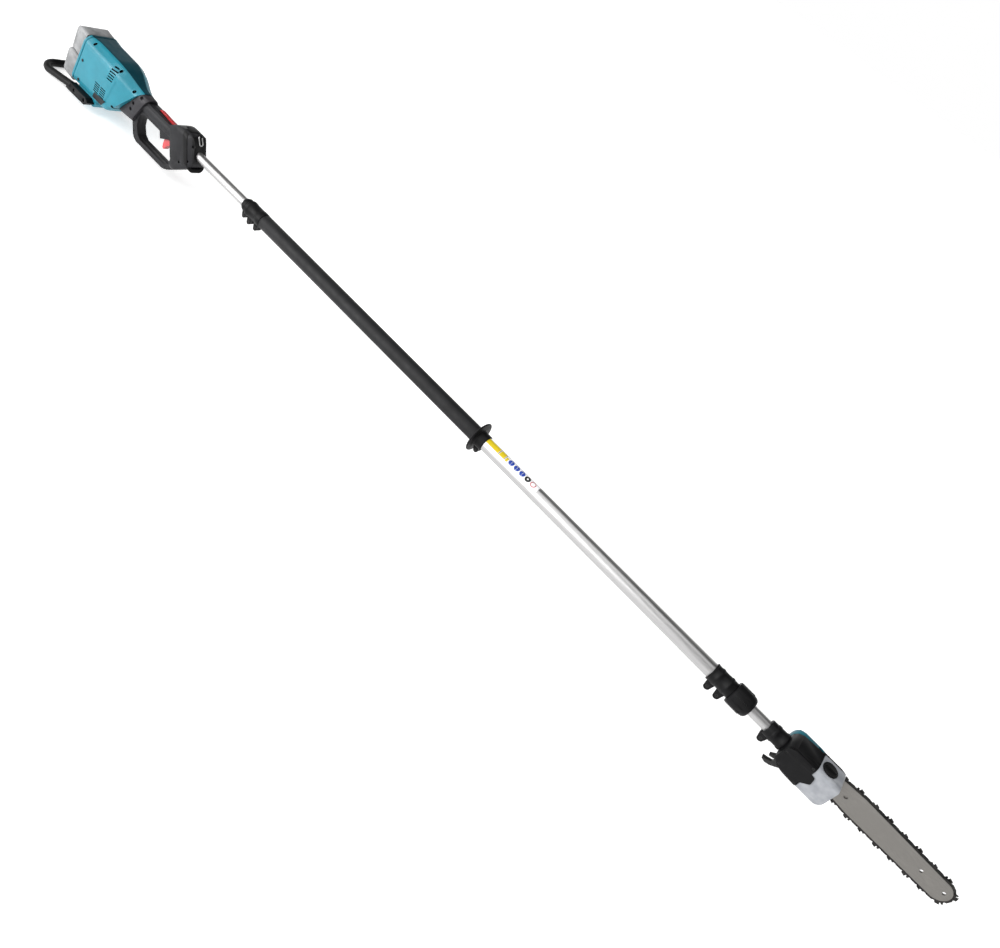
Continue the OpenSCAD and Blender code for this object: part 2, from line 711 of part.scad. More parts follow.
// Side outline of the gear case and of the whole head
case_outline = [
    [1003, -10], [1017, -21], [1031, -25.5], [1064, -28], [1064, 36], [1018, 33], [1009, 28],
    [1004, 19]];
tank_outline = concat([[1064.3, -28], [1064.3, 40], [1100, 40]], arc([1103, 27], 12.5, 70, 0, 6),
    arc([1096.5, -9], 19, 0, -90, 8));
cover_outline = [
    [1003, -10], [1017, -21], [1031, -25.5], [1062.5, -28], [1061.5, -15], [1063.5, -11.5],
    [1073.5, -2.5], [1075.5, 0], [1075.8, 3], [1073.4, 14], [1071.6, 16.6], [1063.6, 17.6],
    [1063.6, 32], [1018, 31], [1010, 27], [1004, 19]];
// Cross-section of the head, seen from behind: [y, z]
head_section = concat([[11, -32], [11, 38.6], [-4, 37.6], [-20, 35.4]],
    arc([-24, 25], 10, 80, 180, 6), arc([-26, -22], 8, 180, 270, 6));

module head_bar(x0, x1) translate([x0, 0, 0]) rotate([90, 0, 90]) linear_extrude(x1 - x0)
    polygon(head_section);

module gear_case()
    color("#1a1b1d") lift() difference() {
        union() {
            intersection() {
                plate_xz(case_outline, -31, 15.4);
                union() {
                    head_bar(1000, 1070);
                    box([1000, 1070], [10, 15.4], [-40, 60]);
                }
            }
            // Plate that the guide bar lies against
            plate_xz([[1060, -26], [1060, 38.4], [1100, 38.4], [1110, 36.4], [1115, 31], [1114, -8],
                [1098, -24], [1090, -26]], 11.3, 15.4);
            box([1062, 1096], [15, 15.75], [-8, 12]);
            rod_x(x_head_rear - 8, x_head_rear + 12, 19.6);
        }
        // Chamber of the bevel gears, open towards the side cover
        plate_xz([[1013, -11], [1013, 15], [1022, 24], [1059, 24], [1059, -20], [1024, -20]], -40, 6.5);
        rod_x(x_head_rear - 10, 1014, 2 * shaft_r + 0.1);
        rod_x(1019, 1038, 22.8);
        rod_y(gear_x, 0, 0, 20, 2 * shaft_r + 0.1);
        rod_y(1070, bar_z, 0, 20, 8 + gap);
        translate([0, -23.5, -13]) rod_x(1050, 1070, 5);
        // Slot of the chain tensioner
        box([1070, 1120], [11, 16], [-15.4, -6.4]);
        for (p = case_screws) rod_y(p[0], p[1], -40, -14, 3.1);
        translate([1027, -15, -40]) cylinder(h = 26, d = 3.1);
    }

case_screws = [[1010, 14], [1058, 28.5], [1058, -23.4], [1017, -17.2]];

// Moulded cover over the gear chamber; its tongue laps over the oil tank
module side_cover()
    color("#17181a") lift() difference() {
        intersection() {
            plate_xz(cover_outline, -36.4, -31.1);
            union() {
                translate([0, -2.2, 0]) head_bar(1000, 1080);
                box([1000, 1080], [-36.4, -31.1], [-20, 20]);
            }
        }
        for (p = case_screws) {
            rod_y(p[0], p[1], -40, -30, 3.1);
            rod_y(p[0], p[1], -40, -33.4, 5.8);
        }
        box([1064, 1080], [-34.4, -30], [-40, 40]);
    }

// Centre of the filler
cap_at = [1082.5, -11];

module oil_tank()
    color("#c9ced3") lift() difference() {
        intersection() {
            plate_xz(tank_outline, -36, 11);
            head_bar(1060, 1120);
        }
        // Oil space
        intersection() {
            plate_xz([for (p = tank_outline) [p[0] + (p[0] < 1070 ? 2 : -2.4), p[1] * 0.91]], -31.4, 8.6);
            box([1060, 1120], [-31.4, 8.6], [-25.4, 31.2]);
        }
        // Seat and mouth of the filler
        translate([cap_at[0], cap_at[1], 34.2]) cylinder(h = 20, r = 15.7);
        translate([cap_at[0], cap_at[1], 20]) cylinder(h = 20, r = 10.2);
        // Outlet to the oil pump
        translate([0, -23.5, -13]) rod_x(1060, 1070, 5);
    }

module oil_cap()
    color("#141516") lift() translate([cap_at[0], cap_at[1], 0]) union() {
        difference() {
            translate([0, 0, 34.5]) cylinder(h = 5, r = 14.8);
            for (a = [0:15:345])
                rotate([0, 0, a]) translate([15, 0, 34]) cylinder(h = 6, r = 0.9);
        }
        translate([0, 0, 24]) cylinder(h = 11, r = 9.8);
        translate([-11.5, -2, 39]) cube([23, 4, 2.2]);
    }

// Gear pump that feeds bar oil, with its outlet pipe to the bar
module oil_pump()
    color("#a4864a") lift() union() {
        rod_y(1052, -13, -29, -18, 11);
        translate([0, -23.5, -13]) rod_x(1052, 1066, 4.9);
        translate([1052, -23.5, -16]) cylinder(h = 20, d = 5);
        box([1049, 1055], [-26, -21], [-2.4, 2.4]);
    }

// Cover of the sprocket on the left side
module sprocket_cover()
    color("#0f8ca6") lift() difference() {
        intersection() {
            plate_xz(sprocket_outline(0), 15.6, 31);
            translate([1000, 0, 0]) rotate([90, 0, 90]) linear_extrude(90)
                polygon([[15, -36], [25, -36], [31, -28], [31, 26], [27, 32], [15, 34]]);
        }
        difference() {
            plate_xz(sprocket_outline(2.6), 15, 28.4);
            rod_y(1070, bar_z, 20.3, 30, 18);
        }
        // Mouth that the bar and chain leave through
        box([1050, 1100], [15, 24.6], [-34, 34]);
        rod_y(1070, bar_z, 10, 40, 8.4);
        rod_y(1070, bar_z, 26, 40, 15);
    }

function sprocket_outline(t) = concat(
    arc([1026, 10], 23 - t, 180, 96, 6), [[1052, 32.6 - t], [1066, 30 - t], [1083 - t, 14]],
    [[1084 - t, -10], [1068, -30 + t], [1054, -35 + t]], arc([1026, -12], 23 - t, 260, 180, 6));

// ---- bar and chain ----

// Angle of the tangent's normal between two circles on the bar's centre line
function wrap_angle(c0, c1) = acos((c0[1] - c1[1]) / (c1[0] - c0[0]));

// Outline around a row of circles, moved outwards by t
function wrapped(c, t) = let (
        a = [180, for (i = [0:len(c) - 2]) wrap_angle(c[i], c[i + 1]), 0],
        upper = [for (i = [0:len(c) - 1])
            each arc([c[i][0], bar_z], c[i][1] + t, a[i], a[i + 1], i == 1 ? 4 : 16)],
        n = len(upper))
    concat(upper, [for (i = [n - 2:-1:1]) [upper[i][0], 2 * bar_z - upper[i][1]]]);

module guide_bar()
    color("#8b8780") lift() difference() {
        plate_xz(wrapped(bar_circles, 0), bar_y - bar_t / 2, bar_y + bar_t / 2);
        // Groove for the drive links
        difference() {
            plate_xz(wrapped(bar_circles, 5), bar_y - 0.8, bar_y + 0.8);
            plate_xz(wrapped(bar_circles, -6.4), bar_y - 1, bar_y + 1);
        }
        // Slot for the stud, hole for the tensioner's pin, oil hole and two windows
        for (x = [1064, 1086]) rod_y(x, bar_z, 10, 30, 8.4);
        box([1064, 1086], [10, 30], [bar_z - 4.2, bar_z + 4.2]);
        rod_y(1078, -11, 10, 30, 4.8);
        rod_y(x_head_front + 27, bar_z - 1, 10, bar_y + 0.6, 7.6);
        for (x = [x_tip - 71, x_tip - 22]) rod_y(x, bar_z + 1.6, 10, 30, 7);
    }

// Lengths along half of the chain's rivet line, from the nose to the sprocket
chain_wrap = [wrap_angle(chain_circles[0], chain_circles[1]), wrap_angle(chain_circles[1], chain_circles[2])];
nose_arc = chain_circles[2][1] * chain_wrap[1] * PI / 180;
front_run = (chain_circles[2][0] - chain_circles[1][0]) * sin(chain_wrap[1]);
mid_arc = chain_circles[1][1] * (chain_wrap[0] - chain_wrap[1]) * PI / 180;
rear_run = (chain_circles[1][0] - chain_circles[0][0]) * sin(chain_wrap[0]);
rear_arc = chain_circles[0][1] * (180 - chain_wrap[0]) * PI / 180;
half_loop = nose_arc + front_run + mid_arc + rear_run + rear_arc;

function on_circle(i, a, h) = [chain_circles[i][0] + (chain_circles[i][1] + h) * cos(a),
    (chain_circles[i][1] + h) * sin(a)];
function along(p, a, d) = p + d * [-sin(a), cos(a)];
// Point of the upper half at length s from the nose, h outside the rivet line
function half_chain(s, h) =
    s < nose_arc ? on_circle(2, s / chain_circles[2][1] * 180 / PI, h) :
    s < nose_arc + front_run ? along(on_circle(2, chain_wrap[1], h), chain_wrap[1], s - nose_arc) :
    s < nose_arc + front_run + mid_arc ?
        on_circle(1, chain_wrap[1] + (s - nose_arc - front_run) / chain_circles[1][1] * 180 / PI, h) :
    s < half_loop - rear_arc ?
        along(on_circle(1, chain_wrap[0], h), chain_wrap[0], s - nose_arc - front_run - mid_arc) :
    on_circle(0, 180 - (half_loop - s) / chain_circles[0][1] * 180 / PI, h);
// Point of the whole loop
function on_chain(s, h) = let (upper = s <= half_loop, p = half_chain(upper ? s : 2 * half_loop - s, h))
    [p[0], bar_z + (upper ? p[1] : -p[1])];

// Loop of the side links; every fourth link is a cutter with its depth gauge in front
module chain_band() {
    pitch = 2 * half_loop / chain_links;
    outer = [for (i = [0:chain_links - 1]) let (s = i * pitch, k = i % 4)
        each k == 1 ? [on_chain(s + 0.5, 3.2), on_chain(s + 1.6, 5.8), on_chain(s + 4, 5.2),
                on_chain(s + pitch - 1, 3)] :
            k == 2 ? [on_chain(s + 0.3, 6), on_chain(s + pitch * 0.75, 6.7), on_chain(s + pitch - 0.4, 3)] :
            k == 3 ? [on_chain(s + 1.2, 2.4), on_chain(s + pitch - 1.2, 2.4)] :
            [on_chain(s + 0.6, 3.2), on_chain(s + pitch - 0.6, 3.2)]];
    inner = [for (i = [0:2 * chain_links - 1]) on_chain(i * pitch / 2, -2.2)];
    difference() {
        plate_xz(outer, bar_y - 2.4, bar_y + 2.4);
        plate_xz(inner, bar_y - 3, bar_y + 3);
    }
}

module saw_chain()
    color("#2c2b2a") lift() union() {
        chain_band();
        // Tangs of the drive links, which run in the bar's groove
        pitch = 2 * half_loop / chain_links;
        difference() {
            plate_xz([for (i = [0:2 * chain_links - 1]) on_chain(i * pitch / 2, 0)],
                bar_y - 0.6, bar_y + 0.6);
            plate_xz([for (i = [0:2 * chain_links - 1]) on_chain(i * pitch / 2, i % 4 < 2 ? -7 : -4.4)],
                bar_y - 1, bar_y + 1);
        }
    }

// Stud that clamps the guide bar and the sprocket cover
module bar_stud()
    color("#b9bcbf") lift() union() {
        rod_y(1070, bar_z, 11.4, 30.5, 7.8);
    }

module bar_nut()
    color("#a5a8ab") lift() difference() {
        union() {
            translate([1070, 26.4, bar_z]) rotate([-90, 0, 0]) cylinder(h = 1.4, r = 7);
            translate([1070, 27.6, bar_z]) rotate([-90, 0, 0]) cylinder(h = 6, r = 7, $fn = 6);
        }
        rod_y(1070, bar_z, 20, 40, 7.9);
    }

// Screw and block with the pin that moves the bar forwards
module chain_tensioner()
    color("#8e9194") lift() union() {
        box([1074, 1082], [11.6, 15.2], [-15, -6.8]);
        rod_y(1078, -11, 15, 20.4, 4);
        translate([1082, 13.4, -11]) rotate([0, 90, 0]) cylinder(h = 22, d = 3.4);
    }

// Two-pronged hook under the gear case for pulling cut branches down
module branch_hook()
    color("#1b1b1d") lift() difference() {
        plate_xz([[1016.8, -21.3], [1008, -20], [998.5, -28.5], [1000.5, -31.5], [1010, -28.5],
            [1014, -32], [1011, -37.5], [1003, -41], [994, -43], [996, -47], [1004, -49.5],
            [1014, -46.5], [1024, -39], [1034, -30.5], [1040, -26.7], [1031, -25.9]], -19, -11);
        translate([1027, -15, -60]) cylinder(h = 60, d = 3.4);
        translate([1027, -15, -60]) cylinder(h = 28, d = 6.2);
    }

module head_screws()
    color("#1b1b1c") lift() {
        for (p = case_screws) screw_y(p[0], p[1], -33.4, -16, 3, 5.6);
        screw_y(head_bolt, -25, -5.5, 7.6, 4.1, 7.2);
        translate([1027, -15, -32]) cylinder(h = 16, d = 3);
        translate([1027, -15, -34.2]) cylinder(h = 2.2, d = 5.8);
    }

// ---- gears of the head ----

// Straight bevel gear on the Z axis with its cone's apex at the origin
module bevel(teeth, radius, height, hub_r, hub_len, bore) {
    cone = norm([radius, height]);
    out = [height, -radius] / cone;
    inner_end = 0.62;
    pitch_pt = [radius, height];
    root = pitch_pt - 1.9 * out;
    function tooth_pt(dist, half_width, scale) = let (p = (pitch_pt + dist * out) * scale,
            a = half_width * scale / p[0] * 180 / PI)
        [p[0] * cos(a), p[0] * sin(a), p[1]];
    difference() {
        union() {
            rotate_extrude() polygon([[0, root[1] * inner_end], [root[0] * inner_end, root[1] * inner_end],
                root, [root[0] - 1, root[1] + 2], [hub_r, root[1] + 2], [hub_r, root[1] + hub_len],
                [0, root[1] + hub_len]]);
            for (i = [0:teeth - 1]) rotate([0, 0, i * 360 / teeth])
                polyhedron([for (k = [1, inner_end]) for (q = [[-2.3, -1.75], [1.3, -0.6], [1.3, 0.6],
                        [-2.3, 1.75]]) tooth_pt(q[0], q[1], k)],
                    [[3, 2, 1, 0], [4, 5, 6, 7], [0, 1, 5, 4], [1, 2, 6, 5], [2, 3, 7, 6], [3, 0, 4, 7]]);
        }
        translate([0, 0, -1]) cylinder(h = 60, r = bore);
    }
}
pinion_r = gear_module * pinion_teeth / 2;
gear_r = gear_module * gear_teeth / 2;

// Hexagonal shaft that slides in the drive tube, with a round seat for the pinion
module head_shaft()
    color("#b4b8bb") lift() union() {
        rotate([0, 90, 0]) translate([0, 0, shaft_rear])
            cylinder(h = x_head_rear - 20 - shaft_rear, d = 8.6, $fn = 6);
        rod_x(x_head_rear - 21, gear_x - 6, 2 * shaft_r);
    }

module bevel_pinion()
    color("#9da2a6") lift() translate([gear_x, 0, 0]) rotate([0, -90, 0])
        rotate([0, 0, 90 + 180 / pinion_teeth])
            bevel(pinion_teeth, pinion_r, gear_r, 7, 6, shaft_r + gap / 2);

module sprocket_shaft()
    color("#b4b8bb") lift() rod_y(gear_x, 0, -28, 27, 2 * shaft_r);

module bevel_gear()
    color("#9da2a6") lift() translate([gear_x, 0, 0]) rotate([90, 0, 0]) rotate([0, 0, 180])
        bevel(gear_teeth, gear_r, pinion_r, 8, 6, shaft_r + gap / 2);

// Rim sprocket: a drum between two discs, with room for the drive links' tangs
module drive_sprocket()
    color("#84888c") lift() difference() {
        union() {
            rod_y(gear_x, 0, bar_y - 2.2, bar_y + 6, 19);
            rod_y(gear_x, 0, bar_y - 2.2, bar_y - 1.2, 29);
            rod_y(gear_x, 0, bar_y + 1.2, bar_y + 2.4, 29);
        }
        rod_y(gear_x, 0, 0, 40, 2 * shaft_r + gap);
    }

// ---- controls ----

module trigger()
    color("#e5484d") lift() union() {
        plate_xz([[-879.5, -20], [-879.5, -17], [-893, -14.3], [-905, -16.4], [-926, -21], [-931, -26],
            [-933, -36], [-933.4, -46], [-932.4, -53], [-929.4, -55.6], [-925.4, -54.2],
            [-921.5, -46.5], [-917, -40.5], [-911, -36.6], [-904, -34.6], [-897, -33], [-891, -23]],
            -6.2, 6.2);
        rod_y(trigger_pivot[0], trigger_pivot[1], -11.3, 11.3, 3);
    }

module lock_off_lever()
    color("#d8232a") lift() union() {
        plate_xz([[-974, 17], [-973, 19.6], [-969, 20.8], [-960, 20.8], [-915, 18.2], [-904, 18],
            [-902, 15.4], [-904, 12.6], [-915, 12.8], [-950, 15.4]], -3.9, 3.9);
        rod_y(lever_pivot[0], lever_pivot[1], -8.4, 8.4, 3);
    }

module power_button()
    color("#2f3135") lift() translate([power_at, 0, 0]) union() {
        translate([0, 0, 32]) cylinder(h = 6.2, r = 6);
        translate([0, 0, 38]) cylinder(h = 0.8, r = 4);
    }

// ---- batteries ----

// Pack above the shelf; out is how far its bumper reaches behind the bay, and up is 1 or,
// for a pack that is then mirrored below the shelf, -1
module pack_body(out, up) {
    slope = tan(rim_slant - pack_slant);
    low = 0.7;
    difference() {
        union() {
            box([-20, 88 - out], [-35.4, 35.4], [1.8, 46.2]);
            intersection() {
                plate_xz([[-5 + slope * (shelf_z + up * low), low],
                    [-5 + slope * (shelf_z + up * pack_h), pack_h + low],
                    [-out + 10, pack_h + low], [-out + 3, pack_h - 3], [-out, pack_h - 12], [-out, low + 6],
                    [-out + 3, low]], -pack_w / 2, pack_w / 2);
                translate([-80, 0, 0]) rotate([90, 0, 90]) linear_extrude(100)
                    polygon(round_rect([0, low + pack_h / 2], pack_w, pack_h, 9, 6));
            }
        }
        // Slots for the terminal blades
        for (y = [-18, -6, 6, 18]) box([79 - out, 90 - out], [y - 1.1, y + 1.1], [5, 14]);
        // Recess of the release button
        box([-out - 1, -out + 7], [-15.3, 15.3], [43, 57]);
    }
}

module pack_latch(out) box([-out + 0.4, -out + 4.2], [-14.8, 14.8], [43.4, 56.6]);

module battery_upper() color("#d4d6d6") lift() pack_frame() translate([0, 0, shelf_z]) pack_body(39, 1);

module battery_upper_latch()
    color("#c4c6c6") lift() pack_frame() translate([0, 0, shelf_z]) pack_latch(39);

module battery_lower()
    color("#d4d6d6") lift() pack_frame() translate([0, 0, shelf_z]) mirror([0, 0, 1])
        pack_body(49, -1);

module battery_lower_latch()
    color("#c4c6c6") lift() pack_frame() translate([0, 0, shelf_z]) mirror([0, 0, 1]) pack_latch(49);

housing_right();
housing_left();
battery_bay();
battery_terminals();
controller();
motor_stator();
motor_bearings();
motor_end_bell();
neck();
grip_right();
grip_left();
switch_unit();
strap_bracket();
strap_eye();
rear_guard();
housing_screws();
handle_screws();
guard_screws();
rear_pipe();
rear_holder();
clamp_bolts();
outer_pipe();
grip_sleeve();
hand_guard();
front_holder();
collet();
shaft_bushes();
motor_rotor();
cooling_fan();
shaft_coupling();
drive_tube();
inner_pipe();
guide_bush();
head_clamp();
gear_case();
side_cover();
oil_tank();
oil_pump();
sprocket_cover();
guide_bar();
saw_chain();
bar_stud();
bar_nut();
chain_tensioner();
branch_hook();
head_screws();
head_shaft();
bevel_pinion();
sprocket_shaft();
bevel_gear();
drive_sprocket();
lock_nut();
trigger();
lock_off_lever();
power_button();
battery_upper();
battery_upper_latch();
battery_lower();
battery_lower_latch();
oil_cap();
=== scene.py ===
import json
import math

import bmesh
import bpy
import numpy as np
from mathutils import Matrix, Vector

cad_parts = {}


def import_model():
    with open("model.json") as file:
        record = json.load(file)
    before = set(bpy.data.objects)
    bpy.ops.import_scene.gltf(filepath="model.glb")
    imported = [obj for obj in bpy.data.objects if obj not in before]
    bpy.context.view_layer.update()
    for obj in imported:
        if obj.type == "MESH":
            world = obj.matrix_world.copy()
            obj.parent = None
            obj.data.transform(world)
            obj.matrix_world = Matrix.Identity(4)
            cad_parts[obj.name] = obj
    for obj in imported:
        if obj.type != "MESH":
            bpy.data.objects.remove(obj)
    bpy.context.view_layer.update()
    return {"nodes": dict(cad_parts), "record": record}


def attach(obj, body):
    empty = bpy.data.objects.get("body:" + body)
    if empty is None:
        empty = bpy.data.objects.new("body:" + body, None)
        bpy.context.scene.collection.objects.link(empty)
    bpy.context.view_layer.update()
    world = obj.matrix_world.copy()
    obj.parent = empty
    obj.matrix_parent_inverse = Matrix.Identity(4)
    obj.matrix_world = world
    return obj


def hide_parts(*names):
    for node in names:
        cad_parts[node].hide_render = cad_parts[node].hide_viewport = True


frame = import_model()
nodes = frame["nodes"]

AXIS = 114.0  # height of the pole axis above the ground, mm
SHIFT = 3.5  # how far the frame's origin is behind the pole's own station zero, mm
EDGE_ANGLE = 32  # degrees; an edge over this is rounded, or shown sharp
FULL_TURN = 2 * math.pi


def world(points):
    """Points in mm around the pole axis, as metres in the row frame."""
    p = np.array(points, float).reshape(-1, 3)
    return (p + [SHIFT, 0, AXIS]) / 1000.0


def placed(name, data):
    """A new object, linked to the scene."""
    obj = bpy.data.objects.new(name, data)
    bpy.context.scene.collection.objects.link(obj)
    return obj


def mapped(tree, value, from_low, from_high, to_low=0.0, to_high=1.0):
    """A node that maps one range of values to another; returns its result."""
    node = tree.nodes.new("ShaderNodeMapRange")
    node.inputs["From Min"].default_value = from_low
    node.inputs["From Max"].default_value = from_high
    node.inputs["To Min"].default_value = to_low
    node.inputs["To Max"].default_value = to_high
    tree.links.new(value, node.inputs["Value"])
    return node.outputs["Result"]


# ---------------------------------------------------------------- camera and light

CAMERA_PLACE = (0.67367, -1.34494, 1.05573)
CAMERA_RIGHT = (0.68291, 0.55403, 0.47612)
CAMERA_UP = (-0.68909, 0.27224, 0.67159)

camera = placed("photo_camera", bpy.data.cameras.new("photo_camera"))
right = Vector(CAMERA_RIGHT).normalized()
up = Vector(CAMERA_UP).normalized()
axes = Matrix((right, up, right.cross(up).normalized())).transposed()
camera.matrix_world = Matrix.Translation(CAMERA_PLACE) @ axes.to_4x4()
camera.data.lens = 29.52
camera.data.sensor_width = 36
camera.data.clip_end = 100
bpy.context.scene.camera = camera


def aimed_light(name, kind, power, direction, place=(0, 0, 0)):
    """A light that shines along a direction."""
    light = bpy.data.lights.new(name, kind)
    light.energy = power
    obj = placed(name, light)
    obj.location = place
    obj.rotation_mode = "QUATERNION"
    obj.rotation_quaternion = Vector(direction).to_track_quat("-Z", "Y")
    return light


def area_light(name, power, place, target, size, size_y=None):
    """A lit disc, or a lit rectangle where it has a second size."""
    light = aimed_light(name, "AREA", power, Vector(target) - Vector(place), place)
    light.shape = "RECTANGLE" if size_y else "DISK"
    light.size = size
    if size_y:
        light.size_y = size_y


key_light = aimed_light("key_light", "SUN", 2.8, (0.40, 0.80, -0.46))
key_light.angle = math.radians(60)
area_light("side_panel", 60, (-2.6, -2.8, 0.5), (-0.9, 0, 0.1), 2.4)
area_light("overhead_strip", 26, (0, -0.35, 2.3), (0, -0.35, 0), 3.4, 1.5)

# Pale horizon and a darker ceiling, as in a studio with a low wrap-round screen
HORIZON, HORIZON_TO = 1.0, 0.12  # strength, and the height of the direction that it reaches to
CEILING, CEILING_FROM = 0.06, 0.6

studio = bpy.data.worlds.new("studio")
bpy.context.scene.world = studio
studio.use_nodes = True
sky = studio.node_tree
direction = sky.nodes.new("ShaderNodeTexCoord").outputs["Generated"]
height = sky.nodes.new("ShaderNodeSeparateXYZ")
sky.links.new(direction, height.inputs["Vector"])
glow = mapped(sky, height.outputs["Z"], HORIZON_TO, CEILING_FROM, HORIZON, CEILING)
sky.links.new(glow, sky.nodes["Background"].inputs["Strength"])
sky.nodes["Background"].inputs["Color"].default_value = (1, 1, 1, 1)
bpy.context.scene.view_settings.view_transform = "Standard"

# ---------------------------------------------------------------- materials

NOISE_LOW, NOISE_HIGH = 0.3, 0.7  # most of a noise texture's values are between these


class Build:
    """Small helper that adds nodes to one material."""

    def __init__(self, name):
        self.material = bpy.data.materials.new(name)
        self.material.use_nodes = True
        self.tree = self.material.node_tree
        self.shader = self.tree.nodes["Principled BSDF"]
        self.coords = None

    def add(self, kind, **settings):
        """A new node with its settings."""
        node = self.tree.nodes.new(kind)
        for key, value in settings.items():
            setattr(node, key, value)
        return node

    def link(self, a, b):
        """Links an output to an input."""
        self.tree.links.new(a, b)

    def paint(self, color, roughness, normal):
        """Links what varies over the surface to the shader."""
        self.link(color, self.shader.inputs["Base Color"])
        self.link(roughness, self.shader.inputs["Roughness"])
        self.link(normal, self.shader.inputs["Normal"])

    def place(self, stretch=(1, 1, 1)):
        """Object coordinates, squeezed along one or more axes."""
        if self.coords is None:
            self.coords = self.add("ShaderNodeTexCoord")
        if stretch == (1, 1, 1):
            return self.coords.outputs["Object"]
        mapping = self.add("ShaderNodeMapping")
        mapping.inputs["Scale"].default_value = stretch
        self.link(self.coords.outputs["Object"], mapping.inputs["Vector"])
        return mapping.outputs["Vector"]

    def noise(self, scale, detail, stretch=(1, 1, 1), rough=0.55):
        """Noise with its scale per metre."""
        node = self.add("ShaderNodeTexNoise")
        node.inputs["Scale"].default_value = scale
        node.inputs["Detail"].default_value = detail
        node.inputs["Roughness"].default_value = rough
        self.link(self.place(stretch), node.inputs["Vector"])
        return node.outputs["Fac"]

    def ramp(self, fac, low, high, start=NOISE_LOW, end=NOISE_HIGH):
        """A change from one colour to another."""
        node = self.add("ShaderNodeValToRGB")
        first, last = node.color_ramp.elements
        first.position, first.color = start, (*low, 1)
        last.position, last.color = end, (*high, 1)
        self.link(fac, node.inputs["Fac"])
        return node.outputs["Color"]

    def span(self, fac, low, high):
        """Noise spread from one number to another."""
        return mapped(self.tree, fac, NOISE_LOW, NOISE_HIGH, low, high)

    def bump(self, height, strength, distance, below=None):
        """Relief of a depth in metres, on top of another relief if one is given."""
        node = self.add("ShaderNodeBump")
        node.inputs["Strength"].default_value = strength
        node.inputs["Distance"].default_value = distance
        self.link(height, node.inputs["Height"])
        if below is not None:
            self.link(below, node.inputs["Normal"])
        return node.outputs["Normal"]


def moulded(name, low, high, rough, grain=900, grain_depth=0.35, metallic=0.0, gloss=0.5):
    """Moulded plastic or coated metal: fine grain, faint cloudy tone and uneven gloss."""
    b = Build(name)
    waves = b.bump(b.noise(22, 2), 0.08, 0.001)
    b.paint(
        b.ramp(b.noise(35, 3), low, high),
        b.span(b.noise(60, 5), rough - 0.06, rough + 0.07),
        b.bump(b.noise(grain, 2), grain_depth, 0.00008, waves),
    )
    b.shader.inputs["Metallic"].default_value = metallic
    b.shader.inputs["Specular IOR Level"].default_value = gloss
    return b.material


def drawn_metal(name, low, high, rough, stretch=(1, 1, 1), streaks=900, depth=0.2):
    """Metal with fine lines, long along an axis where stretch is small."""
    b = Build(name)
    lines = b.noise(streaks, 6, stretch, 0.7)
    b.paint(
        b.ramp(lines, low, high),
        b.span(lines, rough - 0.07, rough + 0.08),
        b.bump(lines, depth, 0.00003),
    )
    b.shader.inputs["Metallic"].default_value = 1.0
    return b.material


def ghost_plastic(name, low, high, alpha):
    """Pale, slightly see-through plastic with cloudy lighter spots."""
    b = Build(name)
    b.paint(
        b.ramp(b.noise(45, 2), low, high, 0.38, 0.66),
        b.span(b.noise(80, 4), 0.38, 0.5),
        b.bump(b.noise(800, 2), 0.2, 0.00005),
    )
    b.shader.inputs["Alpha"].default_value = alpha
    return b.material


BLACK_TONES = (0.003, 0.003, 0.0033), (0.0055, 0.0055, 0.006)
HANDLE_TONES = (0.0095, 0.0095, 0.011), (0.015, 0.015, 0.017)
HANDLE_GLOSS = 0.18

teal = moulded(
    "teal_plastic", (0.010, 0.175, 0.235), (0.014, 0.205, 0.275), 0.36, 1100, 0.22, gloss=0.4
)
# Darker teal on the roof faces of the housing: painted shade of the top faces
roof_teal_painted_shade = moulded(
    "roof_painted_shade_plastic", (0.002, 0.035, 0.050), (0.003, 0.045, 0.062), 0.40, 1100, 0.22, gloss=0.15
)
# Darker teal on the sprocket cover: painted shade
cover_teal_painted_shade = moulded(
    "cover_painted_shade_plastic", (0.005, 0.085, 0.115), (0.007, 0.105, 0.140), 0.36, 1100, 0.22, gloss=0.3
)
black = moulded("black_plastic", *BLACK_TONES, 0.44, gloss=0.13)
black_steel = moulded(
    "black_screw", (0.004, 0.004, 0.004), (0.010, 0.010, 0.010), 0.4, 500, 0.2, gloss=0.3
)

